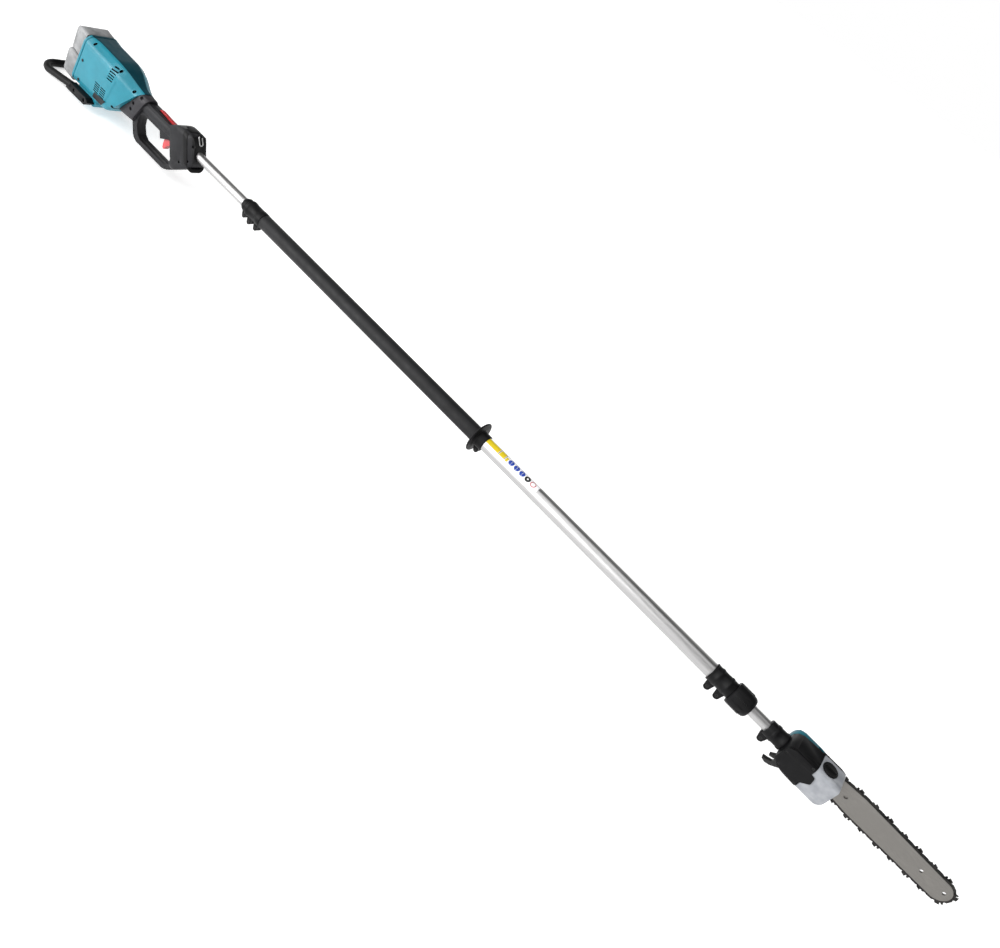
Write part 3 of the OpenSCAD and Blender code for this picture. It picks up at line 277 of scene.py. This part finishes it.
# The record's material slots
MATERIALS = {
    "teal_shell": teal,
    "black_plastic": black,
    "grey_handle": moulded("handle_plastic", *HANDLE_TONES, 0.50, 800, 0.5, gloss=HANDLE_GLOSS),
    "grey_casting": moulded(
        "neck_coating", (0.024, 0.023, 0.026), (0.033, 0.031, 0.035), 0.46, 700, 0.5, gloss=0.22
    ),
    "black_casting": moulded(
        "gear_case_coating", (0.003, 0.003, 0.0033), (0.006, 0.006, 0.0065), 0.42, 700, 0.4,
        gloss=0.14,
    ),
    "pole_aluminium": drawn_metal(
        "pole_aluminium", (0.42, 0.415, 0.415), (0.52, 0.515, 0.515), 0.38, (0.02, 1, 1), 900, 0.03
    ),
    "machined_aluminium": drawn_metal(
        "machined_aluminium", (0.55, 0.56, 0.58), (0.72, 0.73, 0.75), 0.38, streaks=500
    ),
    "soft_grip": moulded(
        "sleeve_rubber", (0.005, 0.005, 0.0055), (0.010, 0.010, 0.011), 0.55, 500, 0.6, gloss=0.25
    ),
    "cut_steel": drawn_metal(
        "cut_steel", (0.42, 0.42, 0.42), (0.62, 0.62, 0.62), 0.32, streaks=700
    ),
    "black_steel": black_steel,
    "bar_steel": drawn_metal(
        "bar_steel", (0.17, 0.163, 0.152), (0.24, 0.23, 0.215), 0.42, (0.05, 1, 1), 1400, 0.25
    ),
    "chain_steel": moulded(
        "chain_steel", (0.010, 0.010, 0.010), (0.034, 0.032, 0.030), 0.42, 900, 0.2, metallic=0.8
    ),
    "terminal_brass": drawn_metal(
        "brass", (0.60, 0.42, 0.16), (0.78, 0.58, 0.28), 0.34, streaks=300
    ),
    "natural_plastic": moulded("natural_plastic", (0.70, 0.67, 0.58), (0.78, 0.75, 0.66), 0.45),
    "tank_plastic": ghost_plastic("tank_plastic", (0.22, 0.23, 0.25), (0.30, 0.31, 0.33), 0.96),
    "pink_trigger": moulded(
        "trigger_plastic", (0.46, 0.045, 0.052), (0.54, 0.065, 0.072), 0.34, 900, 0.2
    ),
    "red_lever": moulded(
        "lever_plastic", (0.30, 0.003, 0.006), (0.38, 0.005, 0.008), 0.24, 900, 0.12
    ),
    "pale_pack": ghost_plastic("pack_plastic", (0.19, 0.193, 0.197), (0.30, 0.303, 0.308), 0.9),
}
SLOT_OF = {s["node"]: s["material_slot"] for s in frame["record"]["subparts"]}

CAP_POINT = (-827, 0, 0)  # on the pole axis, inside the handle's front block
CAP_LEAN = math.radians(23.5)
CAP_AHEAD = 0.012  # from that point to the plane where the black starts, m
CAP_BLUR = 0.0002  # half the width of the change, m


def handle_with_cap(name, obj):
    """Handle plastic that turns black in front of a plane across the handle's front block."""
    normal = Vector((math.cos(CAP_LEAN), 0, math.sin(CAP_LEAN)))
    point = Vector(world(CAP_POINT)[0]) - obj.matrix_world.translation
    start = CAP_AHEAD + normal.dot(point)
    b = Build(name)
    dot = b.add("ShaderNodeVectorMath", operation="DOT_PRODUCT")
    b.link(b.place(), dot.inputs[0])
    dot.inputs[1].default_value = normal
    mask = mapped(b.tree, dot.outputs["Value"], start - CAP_BLUR, start + CAP_BLUR)
    # Inputs 6 and 7 and output 2 are the node's colour sockets
    mix = b.add("ShaderNodeMix", data_type="RGBA")
    b.link(mask, mix.inputs[0])
    b.link(b.ramp(b.noise(35, 3), *HANDLE_TONES), mix.inputs[6])
    b.link(b.ramp(b.noise(35, 3), *BLACK_TONES), mix.inputs[7])
    b.paint(
        mix.outputs[2],
        b.span(b.noise(60, 5), 0.42, 0.55),
        b.bump(b.noise(800, 2), 0.5, 0.00008),
    )
    b.shader.inputs["Specular IOR Level"].default_value = HANDLE_GLOSS
    return b.material


# The sprocket cover takes the darker teal as painted shade; the clamp bolts take black steel
OWN_MATERIALS = {"sprocket_cover": cover_teal_painted_shade, "clamp_bolts": black_steel}
for name in ("grip_right", "grip_left"):
    OWN_MATERIALS[name] = handle_with_cap(name + "_plastic", nodes[name])

for name, obj in nodes.items():
    obj.data.materials.clear()
    obj.data.materials.append(OWN_MATERIALS.get(name) or MATERIALS[SLOT_OF[name]])

# ---------------------------------------------------------------- rounded edges of the CAD nodes

# Width of the rounded edges of the nodes that show, in mm
EDGE_WIDTHS = {
    "neck": 1.6, "grip_right": 2.2, "grip_left": 2.2, "strap_bracket": 0.8, "rear_guard": 1.2,
    "rear_holder": 0.6, "hand_guard": 0.5, "front_holder": 0.6, "lock_nut": 0.7,
    "head_clamp": 0.6, "gear_case": 2.4, "side_cover": 1.8, "oil_tank": 2.4,
    "sprocket_cover": 2.0, "guide_bar": 0.3, "branch_hook": 0.9, "trigger": 1.4,
    "lock_off_lever": 1.2, "power_button": 0.4, "battery_upper": 2.0, "battery_lower": 2.0,
    "battery_upper_latch": 0.8, "battery_lower_latch": 0.8, "oil_cap": 0.7, "battery_bay": 0.8,
    "grip_sleeve": 1.0, "outer_pipe": 0.3, "inner_pipe": 0.3, "rear_pipe": 0.3, "bar_nut": 0.3,
}
SMALL_EDGE = 0.15


def bevelled(obj, width, segments, angle=35):
    """Adds rounded edges, their width in mm, where faces meet at more than an angle."""
    bevel = obj.modifiers.new("bevel", "BEVEL")
    bevel.width = width / 1000
    bevel.segments = segments
    bevel.limit_method = "ANGLE"
    bevel.angle_limit = math.radians(angle)
    bevel.harden_normals = True
    return bevel


def soften(obj, width, segments):
    """Rounds a CAD node's edges with modifiers and leaves its mesh alone."""
    for poly in obj.data.polygons:
        poly.use_smooth = True
    weld = obj.modifiers.new("weld", "WELD")
    weld.merge_threshold = 0.00001
    flat = obj.modifiers.new("flat", "DECIMATE")
    flat.decimate_type = "DISSOLVE"
    flat.angle_limit = math.radians(1.0)
    bevelled(obj, width, segments, EDGE_ANGLE).miter_outer = "MITER_ARC"


for name, obj in nodes.items():
    if name in EDGE_WIDTHS:
        soften(obj, EDGE_WIDTHS[name], 3)
    else:
        soften(obj, SMALL_EDGE, 1)

# ---------------------------------------------------------------- helpers for new pieces


def finish_mesh(mesh, smooth_angle):
    """Faces outwards, smooth shading and sharp edges over an angle."""
    bm = bmesh.new()
    bm.from_mesh(mesh)
    bmesh.ops.remove_doubles(bm, verts=bm.verts, dist=1e-6)
    bmesh.ops.recalc_face_normals(bm, faces=bm.faces)
    bm.to_mesh(mesh)
    bm.free()
    shade(mesh, smooth_angle)


def shade(mesh, smooth_angle):
    """Smooth shading, and sharp edges over an angle."""
    for poly in mesh.polygons:
        poly.use_smooth = True
    mesh.set_sharp_from_angle(angle=math.radians(smooth_angle))


def mesh_object(name, verts, faces, materials, marks=None, smooth_angle=EDGE_ANGLE):
    """A mesh from points in mm around the pole axis; marks are material numbers by face."""
    mesh = bpy.data.meshes.new(name)
    mesh.from_pydata([tuple(v) for v in world(verts)], [], faces)
    for material in materials:
        mesh.materials.append(material)
    if marks is not None:
        mesh.polygons.foreach_set("material_index", marks)
    finish_mesh(mesh, smooth_angle)
    return placed(name, mesh)


def piece(name, verts, faces, materials, body, marks=None, smooth_angle=EDGE_ANGLE):
    """A mesh object that rides on a body, with the materials that it is given."""
    obj = mesh_object(name, verts, faces, materials, marks, smooth_angle)
    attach(obj, body)
    return obj


def applied(obj):
    """Turns an object's modifiers into its mesh."""
    graph = bpy.context.evaluated_depsgraph_get()
    mesh = bpy.data.meshes.new_from_object(obj.evaluated_get(graph))
    obj.modifiers.clear()
    obj.data = mesh


def prism(outline, y0, y1):
    """Points and faces of an upright plate; outline is [x, z] in order."""
    n = len(outline)
    verts = [(x, y, z) for y in (y0, y1) for x, z in outline]
    faces = [tuple(range(n)), tuple(range(2 * n - 1, n - 1, -1))]
    faces += [(k, (k + 1) % n, n + (k + 1) % n, n + k) for k in range(n)]
    return verts, faces


def gathered(parts):
    """Joins (points, faces) pairs."""
    verts, faces = [], []
    for v, f in parts:
        base = len(verts)
        verts += [tuple(p) for p in v]
        faces += [tuple(k + base for k in face) for face in f]
    return verts, faces


def circle(x, z, radius, count):
    """Points [x, z] round a circle."""
    turn = np.linspace(0, FULL_TURN, count + 1)[:-1]
    return [(x + radius * math.cos(a), z + radius * math.sin(a)) for a in turn]


# ---------------------------------------------------------------- motor and battery housing

# [x, roof half width, roof z, side half width, shoulder z, skirt z, floor half width, floor z]
HOUSING = np.array([
    (-1282, 33, 51, 45, 38, -66, 38, -78),
    (-1228, 32, 51, 45, 37.5, -66, 38, -78),
    (-1205, 26, 50.5, 45, 36, -66, 38, -78),
    (-1122, 26, 49, 45, 33, -66, 37, -78),
    (-1094, 22, 43.5, 40.5, 25, -50, 28, -62),
    (-1050, 10, 25.5, 26.5, 12.5, -36, 18, -54),
    (-1015, 8, 20, 21, 8, -34, 14, -50),
], float)
BLEND = 7  # the section is averaged over this far on each side
SECTION_CORNER = 6.5
ROOF_CROWN = 0.6
# Slanted end planes: x on the pole axis, and the change of x with z
REAR_EDGE = (-1245, math.tan(math.radians(12.5)))
FRONT_EDGE = (-1050, math.tan(math.radians(38.3)))
FRONT_HOLE = 14.3  # radius of the opening for the pipe
WALL = 0.0024  # m

# Groove behind the rear rim: where it starts and ends in mm from the rim, and how it fades
# out towards the floor
GROOVE_START, GROOVE_END, GROOVE_FADE, GROOVE_DEPTH = (5, 6), (8.5, 9.5), (-76, -70), 1.9
# Raised panel on the side: its outline [x, z], the width of its edge, where it starts in mm
# from the rim, and the half widths between which it rises
PANEL = [
    (-1300, 29), (-1128, 27), (-1104, 21), (-1098, 8), (-1113, -42), (-1124, -62), (-1300, -62)
]
PANEL_EDGE, PANEL_START, PANEL_SIDE, PANEL_RISE = (0, 1.8), (11.5, 13), (34, 38), 1.3
# Relief goes straight out on the sides, and away from the middle beyond this far up or down
SIDE_REACH, MIDDLE_Z = 34, -12

CUT_TO = 60  # half width that every cutter reaches out to
VENT_FROM, VENT_HALF_HEIGHT = 32, 1.5
LONG_SCREWS = [(-1206, 43), (-1101, 36.8), (-1051, 15.6), (-1096, -53)]
SHORT_SCREWS = [(-1226, -11), (-1229, -62)]
LONG_FROM, SHORT_FROM, SCREW_RADIUS = 12, 43.4, 3.6

SPAN, BEND = 26, 5  # points along a straight side and round a corner of the section
ROOF_FROM = 4 * (SPAN + BEND) - 2  # the roof's first point, inside the bend of its corner
RIM_SHARE, RIM_STEPS, BODY_STEPS = 0.075, 24, 84  # rings are closer together near the rim
# Paints of the shell by face: teal on the sides, a darker teal on the roof as painted shade of the
# top, and black on the walls of the vent slots and screw recesses as painted shade in the recesses
PAINTS = [teal, roof_teal_painted_shade, black]
SIDE_PAINT, ROOF_SHADE_PAINT, RECESS_SHADE_PAINT = range(3)


def housing_sizes(x):
    """The section's measures at x, averaged so that the cross corners are round."""
    steps = np.linspace(-BLEND, BLEND, 7)
    return [
        np.mean([np.interp(x + d, HOUSING[:, 0], HOUSING[:, k]) for d in steps])
        for k in range(1, HOUSING.shape[1])
    ]


def rounded_path(corners, radius, straight, bend):
    """Points along a path whose inner corners are rounded."""
    path = []
    pts = [np.array(c, float) for c in corners]
    for k, corner in enumerate(pts):
        inner = 0 < k < len(pts) - 1
        ends = (corner, corner)
        if inner:
            before, after = pts[k - 1] - corner, pts[k + 1] - corner
            back, on = np.linalg.norm(before), np.linalg.norm(after)
            r = min(radius, back * 0.45, on * 0.45)
            ends = (corner + before / back * r, corner + after / on * r)
        if path:
            start = path[-1]
            path += [start + (ends[0] - start) * i / straight for i in range(1, straight + 1)]
        else:
            path.append(ends[0])
        if inner:
            for i in range(1, bend + 1):
                u = i / bend
                path.append((1 - u) ** 2 * ends[0] + 2 * u * (1 - u) * corner + u**2 * ends[1])
    return path


def housing_section(x):
    """Half of the housing's section at x, [y, z] from the middle of the floor to the roof's."""
    roof_w, roof_z, side_w, shoulder, skirt, floor_w, floor_z = housing_sizes(x)
    corners = [(0, floor_z), (floor_w, floor_z), (side_w, skirt), (side_w, shoulder),
               (roof_w, roof_z), (0, roof_z + ROOF_CROWN)]
    return rounded_path(corners, SECTION_CORNER, SPAN, BEND)


SECTIONS = {}


def cached_section(x):
    """The section at the nearest half millimetre, worked out once."""
    key = round(x * 2)
    if key not in SECTIONS:
        SECTIONS[key] = housing_section(key / 2)
    return SECTIONS[key]


def inside_distance(outline, x, z):
    """Distance into a convex outline, clockwise with z up; negative outside."""
    distances = []
    for (x0, z0), (x1, z1) in zip(outline, outline[1:] + outline[:1]):
        length = math.hypot(x1 - x0, z1 - z0)
        distances.append(((z0 - z1) * (x0 - x) + (x1 - x0) * (z0 - z)) / length)
    return min(distances)


def smooth_step(value, low, high):
    """0 up to low, 1 from high, and a smooth rise between them."""
    t = min(1, max(0, (value - low) / (high - low)))
    return t * t * (3 - 2 * t)


def relief(x, y, z, from_rim):
    """How far the skin stands out in the raised panel, or back in the groove."""
    groove = smooth_step(from_rim, *GROOVE_START) - smooth_step(from_rim, *GROOVE_END)
    panel = smooth_step(inside_distance(PANEL, x, z), *PANEL_EDGE)
    panel *= smooth_step(from_rim, *PANEL_START)
    panel *= smooth_step(y, *PANEL_SIDE)
    return PANEL_RISE * panel - GROOVE_DEPTH * groove * smooth_step(z, *GROOVE_FADE)


def edge_x(edge, z):
    """Where an end plane is at a height."""
    return edge[0] + z * edge[1]


def skin_point(share, j):
    """Point j of the section that is a share of the way from the rear plane to the front one."""
    x = -1150.0
    for _ in range(7):
        z = cached_section(x)[j][1]
        rear = edge_x(REAR_EDGE, z)
        x = rear + (edge_x(FRONT_EDGE, z) - rear) * share
    y, z = cached_section(x)[j]
    out = relief(x, y, z, x - rear)
    on_side = abs(z) <= SIDE_REACH
    up = z - MIDDLE_Z
    away = math.hypot(y, up) or 1
    if not on_side:
        z += out * up / away
    if y > 2:
        y += out if on_side else out * y / away
    return x, y, z


def housing_skin(side):
    """Points, faces and paints of one half, from its rear plane to the wall round the pipe."""
    shares = np.concatenate([
        np.linspace(0, RIM_SHARE, RIM_STEPS), np.linspace(RIM_SHARE, 1, BODY_STEPS)[1:]
    ])
    n = len(housing_section(HOUSING[0][0]))
    grid = [[skin_point(share, j) for j in range(n)] for share in shares]
    opening = [(FRONT_HOLE * math.cos(a), FRONT_HOLE * math.sin(a))
               for a in np.linspace(-math.pi / 2, math.pi / 2, n)]
    grid.append([(edge_x(FRONT_EDGE, z), y, z) for y, z in opening])
    verts = [(x, side * y, z) for ring in grid for x, y, z in ring]
    faces, marks = [], []
    for i in range(len(grid) - 1):
        for j in range(n - 1):
            faces.append((i * n + j, (i + 1) * n + j, (i + 1) * n + j + 1, i * n + j + 1))
            # the roof faces take the darker teal: painted shade of the top
            marks.append(ROOF_SHADE_PAINT if j >= ROOF_FROM else SIDE_PAINT)
    return verts, faces, marks


def outwards(mesh, side):
    """Makes sure that the skin's normals point away from the middle plane."""
    total = sum(p.normal.y * p.area for p in mesh.polygons)
    if total * side < 0:
        mesh.flip_normals()


def vent_cutters(side):
    """Blocks that cut the two groups of vent slots."""
    # [x, z, half length, half height]; the top slot is short, to stay clear of a screw recess
    slots = [(-1112.5, 38, 6.5, VENT_HALF_HEIGHT)]
    slots += [(-1109.5 - 1.6 * i, 38 - 6.9 * i, 9.5, VENT_HALF_HEIGHT) for i in range(1, 6)]
    slots += [(x - 0.6 * i, -29.5 - 5.4 * i, 10, 1.3) for i in range(5) for x in (-1154.5, -1131.5)]
    return gathered([
        prism([(x - w, z - h), (x + w, z - h), (x + w, z + h), (x - w, z + h)],
              side * VENT_FROM, side * CUT_TO)
        for x, z, w, h in slots
    ])


def screw_cutters(side):
    """Round recesses: through the wall over the long screws, blind over the short ones."""
    return gathered([
        prism(circle(x, z, SCREW_RADIUS, 24), side * depth, side * CUT_TO)
        for holes, depth in ((LONG_SCREWS, LONG_FROM), (SHORT_SCREWS, SHORT_FROM))
        for x, z in holes
    ])


def housing_half(name, side):
    """One half of the housing's shell, with its wall, vent slots and screw recesses."""
    verts, faces, marks = housing_skin(side)
    obj = piece(name, verts, faces, PAINTS, "power_unit", marks, 40)
    outwards(obj.data, side)
    wall = obj.modifiers.new("wall", "SOLIDIFY")
    wall.thickness = WALL
    wall.offset = -1
    cutters = []
    for verts, faces in (vent_cutters(side), screw_cutters(side)):
        # The cutters' faces are black, so the walls of the vent slots and screw recesses come out
        # black: painted shade in the recesses
        cutter = mesh_object("cutter", verts, faces, PAINTS, [RECESS_SHADE_PAINT] * len(faces))
        cut = obj.modifiers.new("cut", "BOOLEAN")
        cut.operation = "DIFFERENCE"
        cut.solver = "MANIFOLD"
        cut.object = cutter
        cutters.append(cutter)
    applied(obj)
    for cutter in cutters:
        bpy.data.objects.remove(cutter)
    shade(obj.data, 36)
    return obj


# Foot under the rear of each half: its outline [x, z], and the half widths that it spans
FOOT = [(-1237, -99), (-1168, -99), (-1160, -88), (-1160, -76), (-1237, -76)]
FOOT_FROM, FOOT_TO = 0.05, 37

for name, side in (("housing_right", -1), ("housing_left", 1)):
    half = housing_half(name + "_shell", side)
    verts, faces = prism(FOOT, side * FOOT_FROM, side * FOOT_TO)
    foot = piece(name + "_foot", verts, faces, [teal], "power_unit")
    bevelled(foot, 2.5, 3)
    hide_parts(name)

# ---------------------------------------------------------------- saw chain

BAR_Y, BAR_Z = 18.0, 1.0
# [x, radius] of the circles that the rivets follow: sprocket, belly of the bar, nose
CHAIN_CIRCLES = [(1042.0, 18.2), (1166.0, 28.9), (1350.4, 24.9)]
SPROCKET, BELLY, NOSE = range(3)
LINKS = 92


def wrap_angle(a, b):
    """Direction, from both centres, of the points where a line touches two circles on top."""
    return math.acos((a[1] - b[1]) / (b[0] - a[0]))


def circle_point(k, a):
    """Point of one of the chain's circles."""
    x, radius = CHAIN_CIRCLES[k]
    return x + radius * math.cos(a), BAR_Z + radius * math.sin(a)


def chain_path():
    """Stretches of the loop, each (length, function to point and outward angle).

    The loop starts at the nose's tip, goes back along the top and returns along the bottom.
    """
    rear = wrap_angle(CHAIN_CIRCLES[SPROCKET], CHAIN_CIRCLES[BELLY])
    front = wrap_angle(CHAIN_CIRCLES[BELLY], CHAIN_CIRCLES[NOSE])
    stretches = []

    def arc(k, a0, a1):
        def place(u):
            a = a0 + (a1 - a0) * u
            return (*circle_point(k, a), a)

        stretches.append((CHAIN_CIRCLES[k][1] * abs(a1 - a0), place))

    def line(k, m, a):
        p, q = circle_point(k, a), circle_point(m, a)

        def place(u):
            return p[0] + (q[0] - p[0]) * u, p[1] + (q[1] - p[1]) * u, a

        stretches.append((math.dist(p, q), place))

    arc(NOSE, 0, front)
    line(NOSE, BELLY, front)
    arc(BELLY, front, rear)
    line(BELLY, SPROCKET, rear)
    arc(SPROCKET, rear, FULL_TURN - rear)
    line(SPROCKET, BELLY, -rear)
    arc(BELLY, -rear, -front)
    line(BELLY, NOSE, -front)
    arc(NOSE, -front, 0)
    return stretches


STRETCHES = chain_path()
LOOP = sum(length for length, _ in STRETCHES)
PITCH = LOOP / LINKS


def on_chain(s):
    """Point and outward angle at a distance along the loop."""
    s %= LOOP
    for length, place in STRETCHES:
        if s <= length:
            return place(s / length)
        s -= length
    return STRETCHES[-1][1](1)


def link_plate(a, b, outline, y0, y1):
    """A plate of one link: outline is [along from rivet a, outwards] in mm."""
    d = np.array([b[0] - a[0], b[1] - a[1]])
    d /= np.linalg.norm(d)
    out = np.array([d[1], -d[0]])
    if out @ np.array([math.cos(a[2]), math.sin(a[2])]) < 0:
        out = -out
    pts = [np.array(a[:2]) + d * u + out * h for u, h in outline]
    return prism([(p[0], p[1]) for p in pts], y0, y1)


def round_link(low, high):
    """The two round ends of a link over both rivets, each a list of points."""
    reach = 2.9  # past the rivets
    first = [(-reach * math.sin(t), high - (high - low) * (1 - math.cos(t)) / 2)
             for t in np.linspace(0.35, math.pi - 0.35, 5)]
    return first, [(PITCH - x, z) for x, z in reversed(first)]


FIRST_END, LAST_END = round_link(-2.3, 2.3)
SIDE_LINK = FIRST_END + LAST_END
FIRST_END, LAST_END = round_link(-2.3, 2.4)
DRIVE_LINK = FIRST_END + [(0.6, -4.6), (2.2, -7.0), (4.6, -7.2), (PITCH - 0.6, -3.2)] + LAST_END
# The raised tooth is over the first rivet and the depth gauge over the second
CUTTER = [
    (-2.6, -2.2), (-3.4, 0.8), (-3.0, 3.0), (-0.6, 5.7), (4.4, 6.6), (5.0, 2.6), (6.6, 2.0),
    (7.6, 5.2), (10.2, 5.5), (11.0, 2.2), (10.6, -1.4), (9.4, -2.3),
]
TOP_PLATE = [(-3.2, 4.4), (4.4, 6.9), (4.2, 5.8), (-2.8, 3.4)]
# Distances from the bar's middle plane
DRIVE_SPAN, SIDE_SPAN, TOP_SPAN, RIVET_SPAN = (-0.65, 0.65), (0.75, 1.95), (-1.2, 2.5), (-2.4, 2.4)
RIVET_RADIUS = 1.5
CUTTER_SIDE = {1: -1, 5: 1}  # side of the cutter by the link's number out of every eight


def across_bar(side, span):
    """From and to in y, in that order, of a span on one side of the bar."""
    return sorted(BAR_Y + side * distance for distance in span)


def chain_parts():
    """Every drive link, side plate, cutter and rivet of the chain."""
    parts = []
    for i in range(LINKS):
        a, b = on_chain(i * PITCH), on_chain((i + 1) * PITCH)
        if i % 2 == 0:
            parts.append(link_plate(a, b, DRIVE_LINK, *across_bar(1, DRIVE_SPAN)))
        else:
            for side in (-1, 1):
                cutting = side == CUTTER_SIDE.get(i % 8)
                outline = CUTTER if cutting else SIDE_LINK
                parts.append(link_plate(a, b, outline, *across_bar(side, SIDE_SPAN)))
                if cutting:
                    parts.append(link_plate(a, b, TOP_PLATE, *across_bar(side, TOP_SPAN)))
        parts.append(prism(circle(a[0], a[1], RIVET_RADIUS, 8), *across_bar(1, RIVET_SPAN)))
    return parts


verts, faces = gathered(chain_parts())
chain = piece(
    "chain_links", verts, faces, [MATERIALS["chain_steel"]], "inner_pole"
)
bevelled(chain, 0.18, 1)
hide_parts("saw_chain")

# ---------------------------------------------------------------- label on the pipe

PIPE_R = 16.0
FILM_STEP = 1.2  # width of a block's faces round the pipe


def film(name, color):
    """Printed film: flat ink with a faint uneven gloss and tone."""
    b = Build(name)
    darker = tuple(c * 0.93 for c in color)
    b.paint(
        b.ramp(b.noise(120, 3), darker, color),
        b.span(b.noise(90, 3), 0.30, 0.43),
        b.bump(b.noise(1500, 2), 0.06, 0.00003),
    )
    b.shader.inputs["Specular IOR Level"].default_value = 0.2
    return b.material


def on_pipe(x, across, lift_up):
    """Point over the outer pipe; across is mm round it from the top to the user's right, -Y."""
    a = across / PIPE_R
    r = PIPE_R + lift_up
    return (x, -r * math.sin(a), r * math.cos(a))


def film_block(name, x0, x1, c0, c1, material, lift_up):
    """A block of film from x0 to x1 along the pipe and c0 to c1 across."""
    cols = max(2, int(abs(c1 - c0) / FILM_STEP))
    verts = [on_pipe(x, c0 + (c1 - c0) * j / cols, lift_up)
             for x in (x0, x1) for j in range(cols + 1)]
    faces = [(j, j + 1, cols + 2 + j, cols + 1 + j) for j in range(cols)]
    return piece(name, verts, faces, [material], "power_unit")


def film_ring(name, x, across, r_in, r_out, material, lift_up):
    """A ring of film round a point of the pipe."""
    n = 40
    verts = [on_pipe(*point, lift_up) for r in (r_in, (r_in + r_out) / 2, r_out)
             for point in circle(x, across, r, n)]
    faces = [(k * n + j, k * n + (j + 1) % n, (k + 1) * n + (j + 1) % n, (k + 1) * n + j)
             for k in range(2) for j in range(n)]
    return piece(name, verts, faces, [material], "power_unit")


film_white = film("film_white", (0.84, 0.84, 0.85))
film_yellow = film("film_yellow", (0.62, 0.47, 0.012))
film_blue = film("film_blue", (0.020, 0.055, 0.33))
film_dark = film("film_dark", (0.010, 0.010, 0.011))
film_red = film("film_red", (0.45, 0.05, 0.06))

GROUND_UP, PRINT_UP = 0.10, 0.16  # heights above the pipe
# [name, x from and to, across from and to, film, height]
BLOCKS = [
    ("label_ground", 189, 343, -6, 19, film_white, GROUND_UP),
    ("label_block_a", 193, 229, -2, 12, film_yellow, PRINT_UP),
    ("label_block_b", 232, 246, -2, 12, film_yellow, PRINT_UP),
    ("label_block_c", 249, 255, 2, 12, film_yellow, PRINT_UP),
    ("label_line_a", 229.8, 231.2, -2, 12, film_dark, PRINT_UP),
    ("label_line_b", 246.8, 248.0, -2, 12, film_dark, PRINT_UP),
]
RING_ACROSS, RING_RADIUS = 5, 6.9
# [name, x, inner radius, film]
RINGS = [
    ("label_disc_0", 264, 0.8, film_blue),
    ("label_disc_1", 280, 0.8, film_blue),
    ("label_disc_2", 296, 0.8, film_blue),
    ("label_dark_disc", 312, 2.2, film_dark),
    ("label_red_ring", 328, 5.0, film_red),
]
for block in BLOCKS:
    film_block(*block)
for name, x, r_in, material in RINGS:
    film_ring(name, x, RING_ACROSS, r_in, RING_RADIUS, material, PRINT_UP)

# Dark rating plate low on the right side of the housing, left blank
PLATE = [(-1160, -47.2, -54), (-1115, -47.2, -52), (-1130, -44.6, -70), (-1168, -44.6, -70)]
PLATE_THICKNESS = 1.4

verts = PLATE + [(x, y + PLATE_THICKNESS, z) for x, y, z in PLATE]
faces = [(0, 1, 2, 3), (7, 6, 5, 4)]
faces += [(k, (k + 1) % 4, 4 + (k + 1) % 4, 4 + k) for k in range(4)]
plate = piece("rating_plate", verts, faces, [film_dark], "power_unit")
bevelled(plate, 0.3, 2)

# ---------------------------------------------------------------- floor

FLOOR_HALF, FLOOR_Z = 60, -0.0005  # m
FLOOR_GLOW = 0.52  # stands for the light that a white studio throws back

floor_mesh = bpy.data.meshes.new("floor")
corners = [(-1, -1), (1, -1), (1, 1), (-1, 1)]
floor_mesh.from_pydata(
    [(FLOOR_HALF * x, FLOOR_HALF * y, FLOOR_Z) for x, y in corners], [], [(0, 1, 2, 3)]
)
floor = placed("floor", floor_mesh)
b = Build("floor_paper")
b.link(b.ramp(b.noise(3, 2), (0.84, 0.84, 0.84), (0.86, 0.86, 0.86)), b.shader.inputs["Base Color"])
b.shader.inputs["Roughness"].default_value = 0.9
b.shader.inputs["Emission Color"].default_value = (1, 1, 1, 1)
b.shader.inputs["Emission Strength"].default_value = FLOOR_GLOW
floor_mesh.materials.append(b.material)
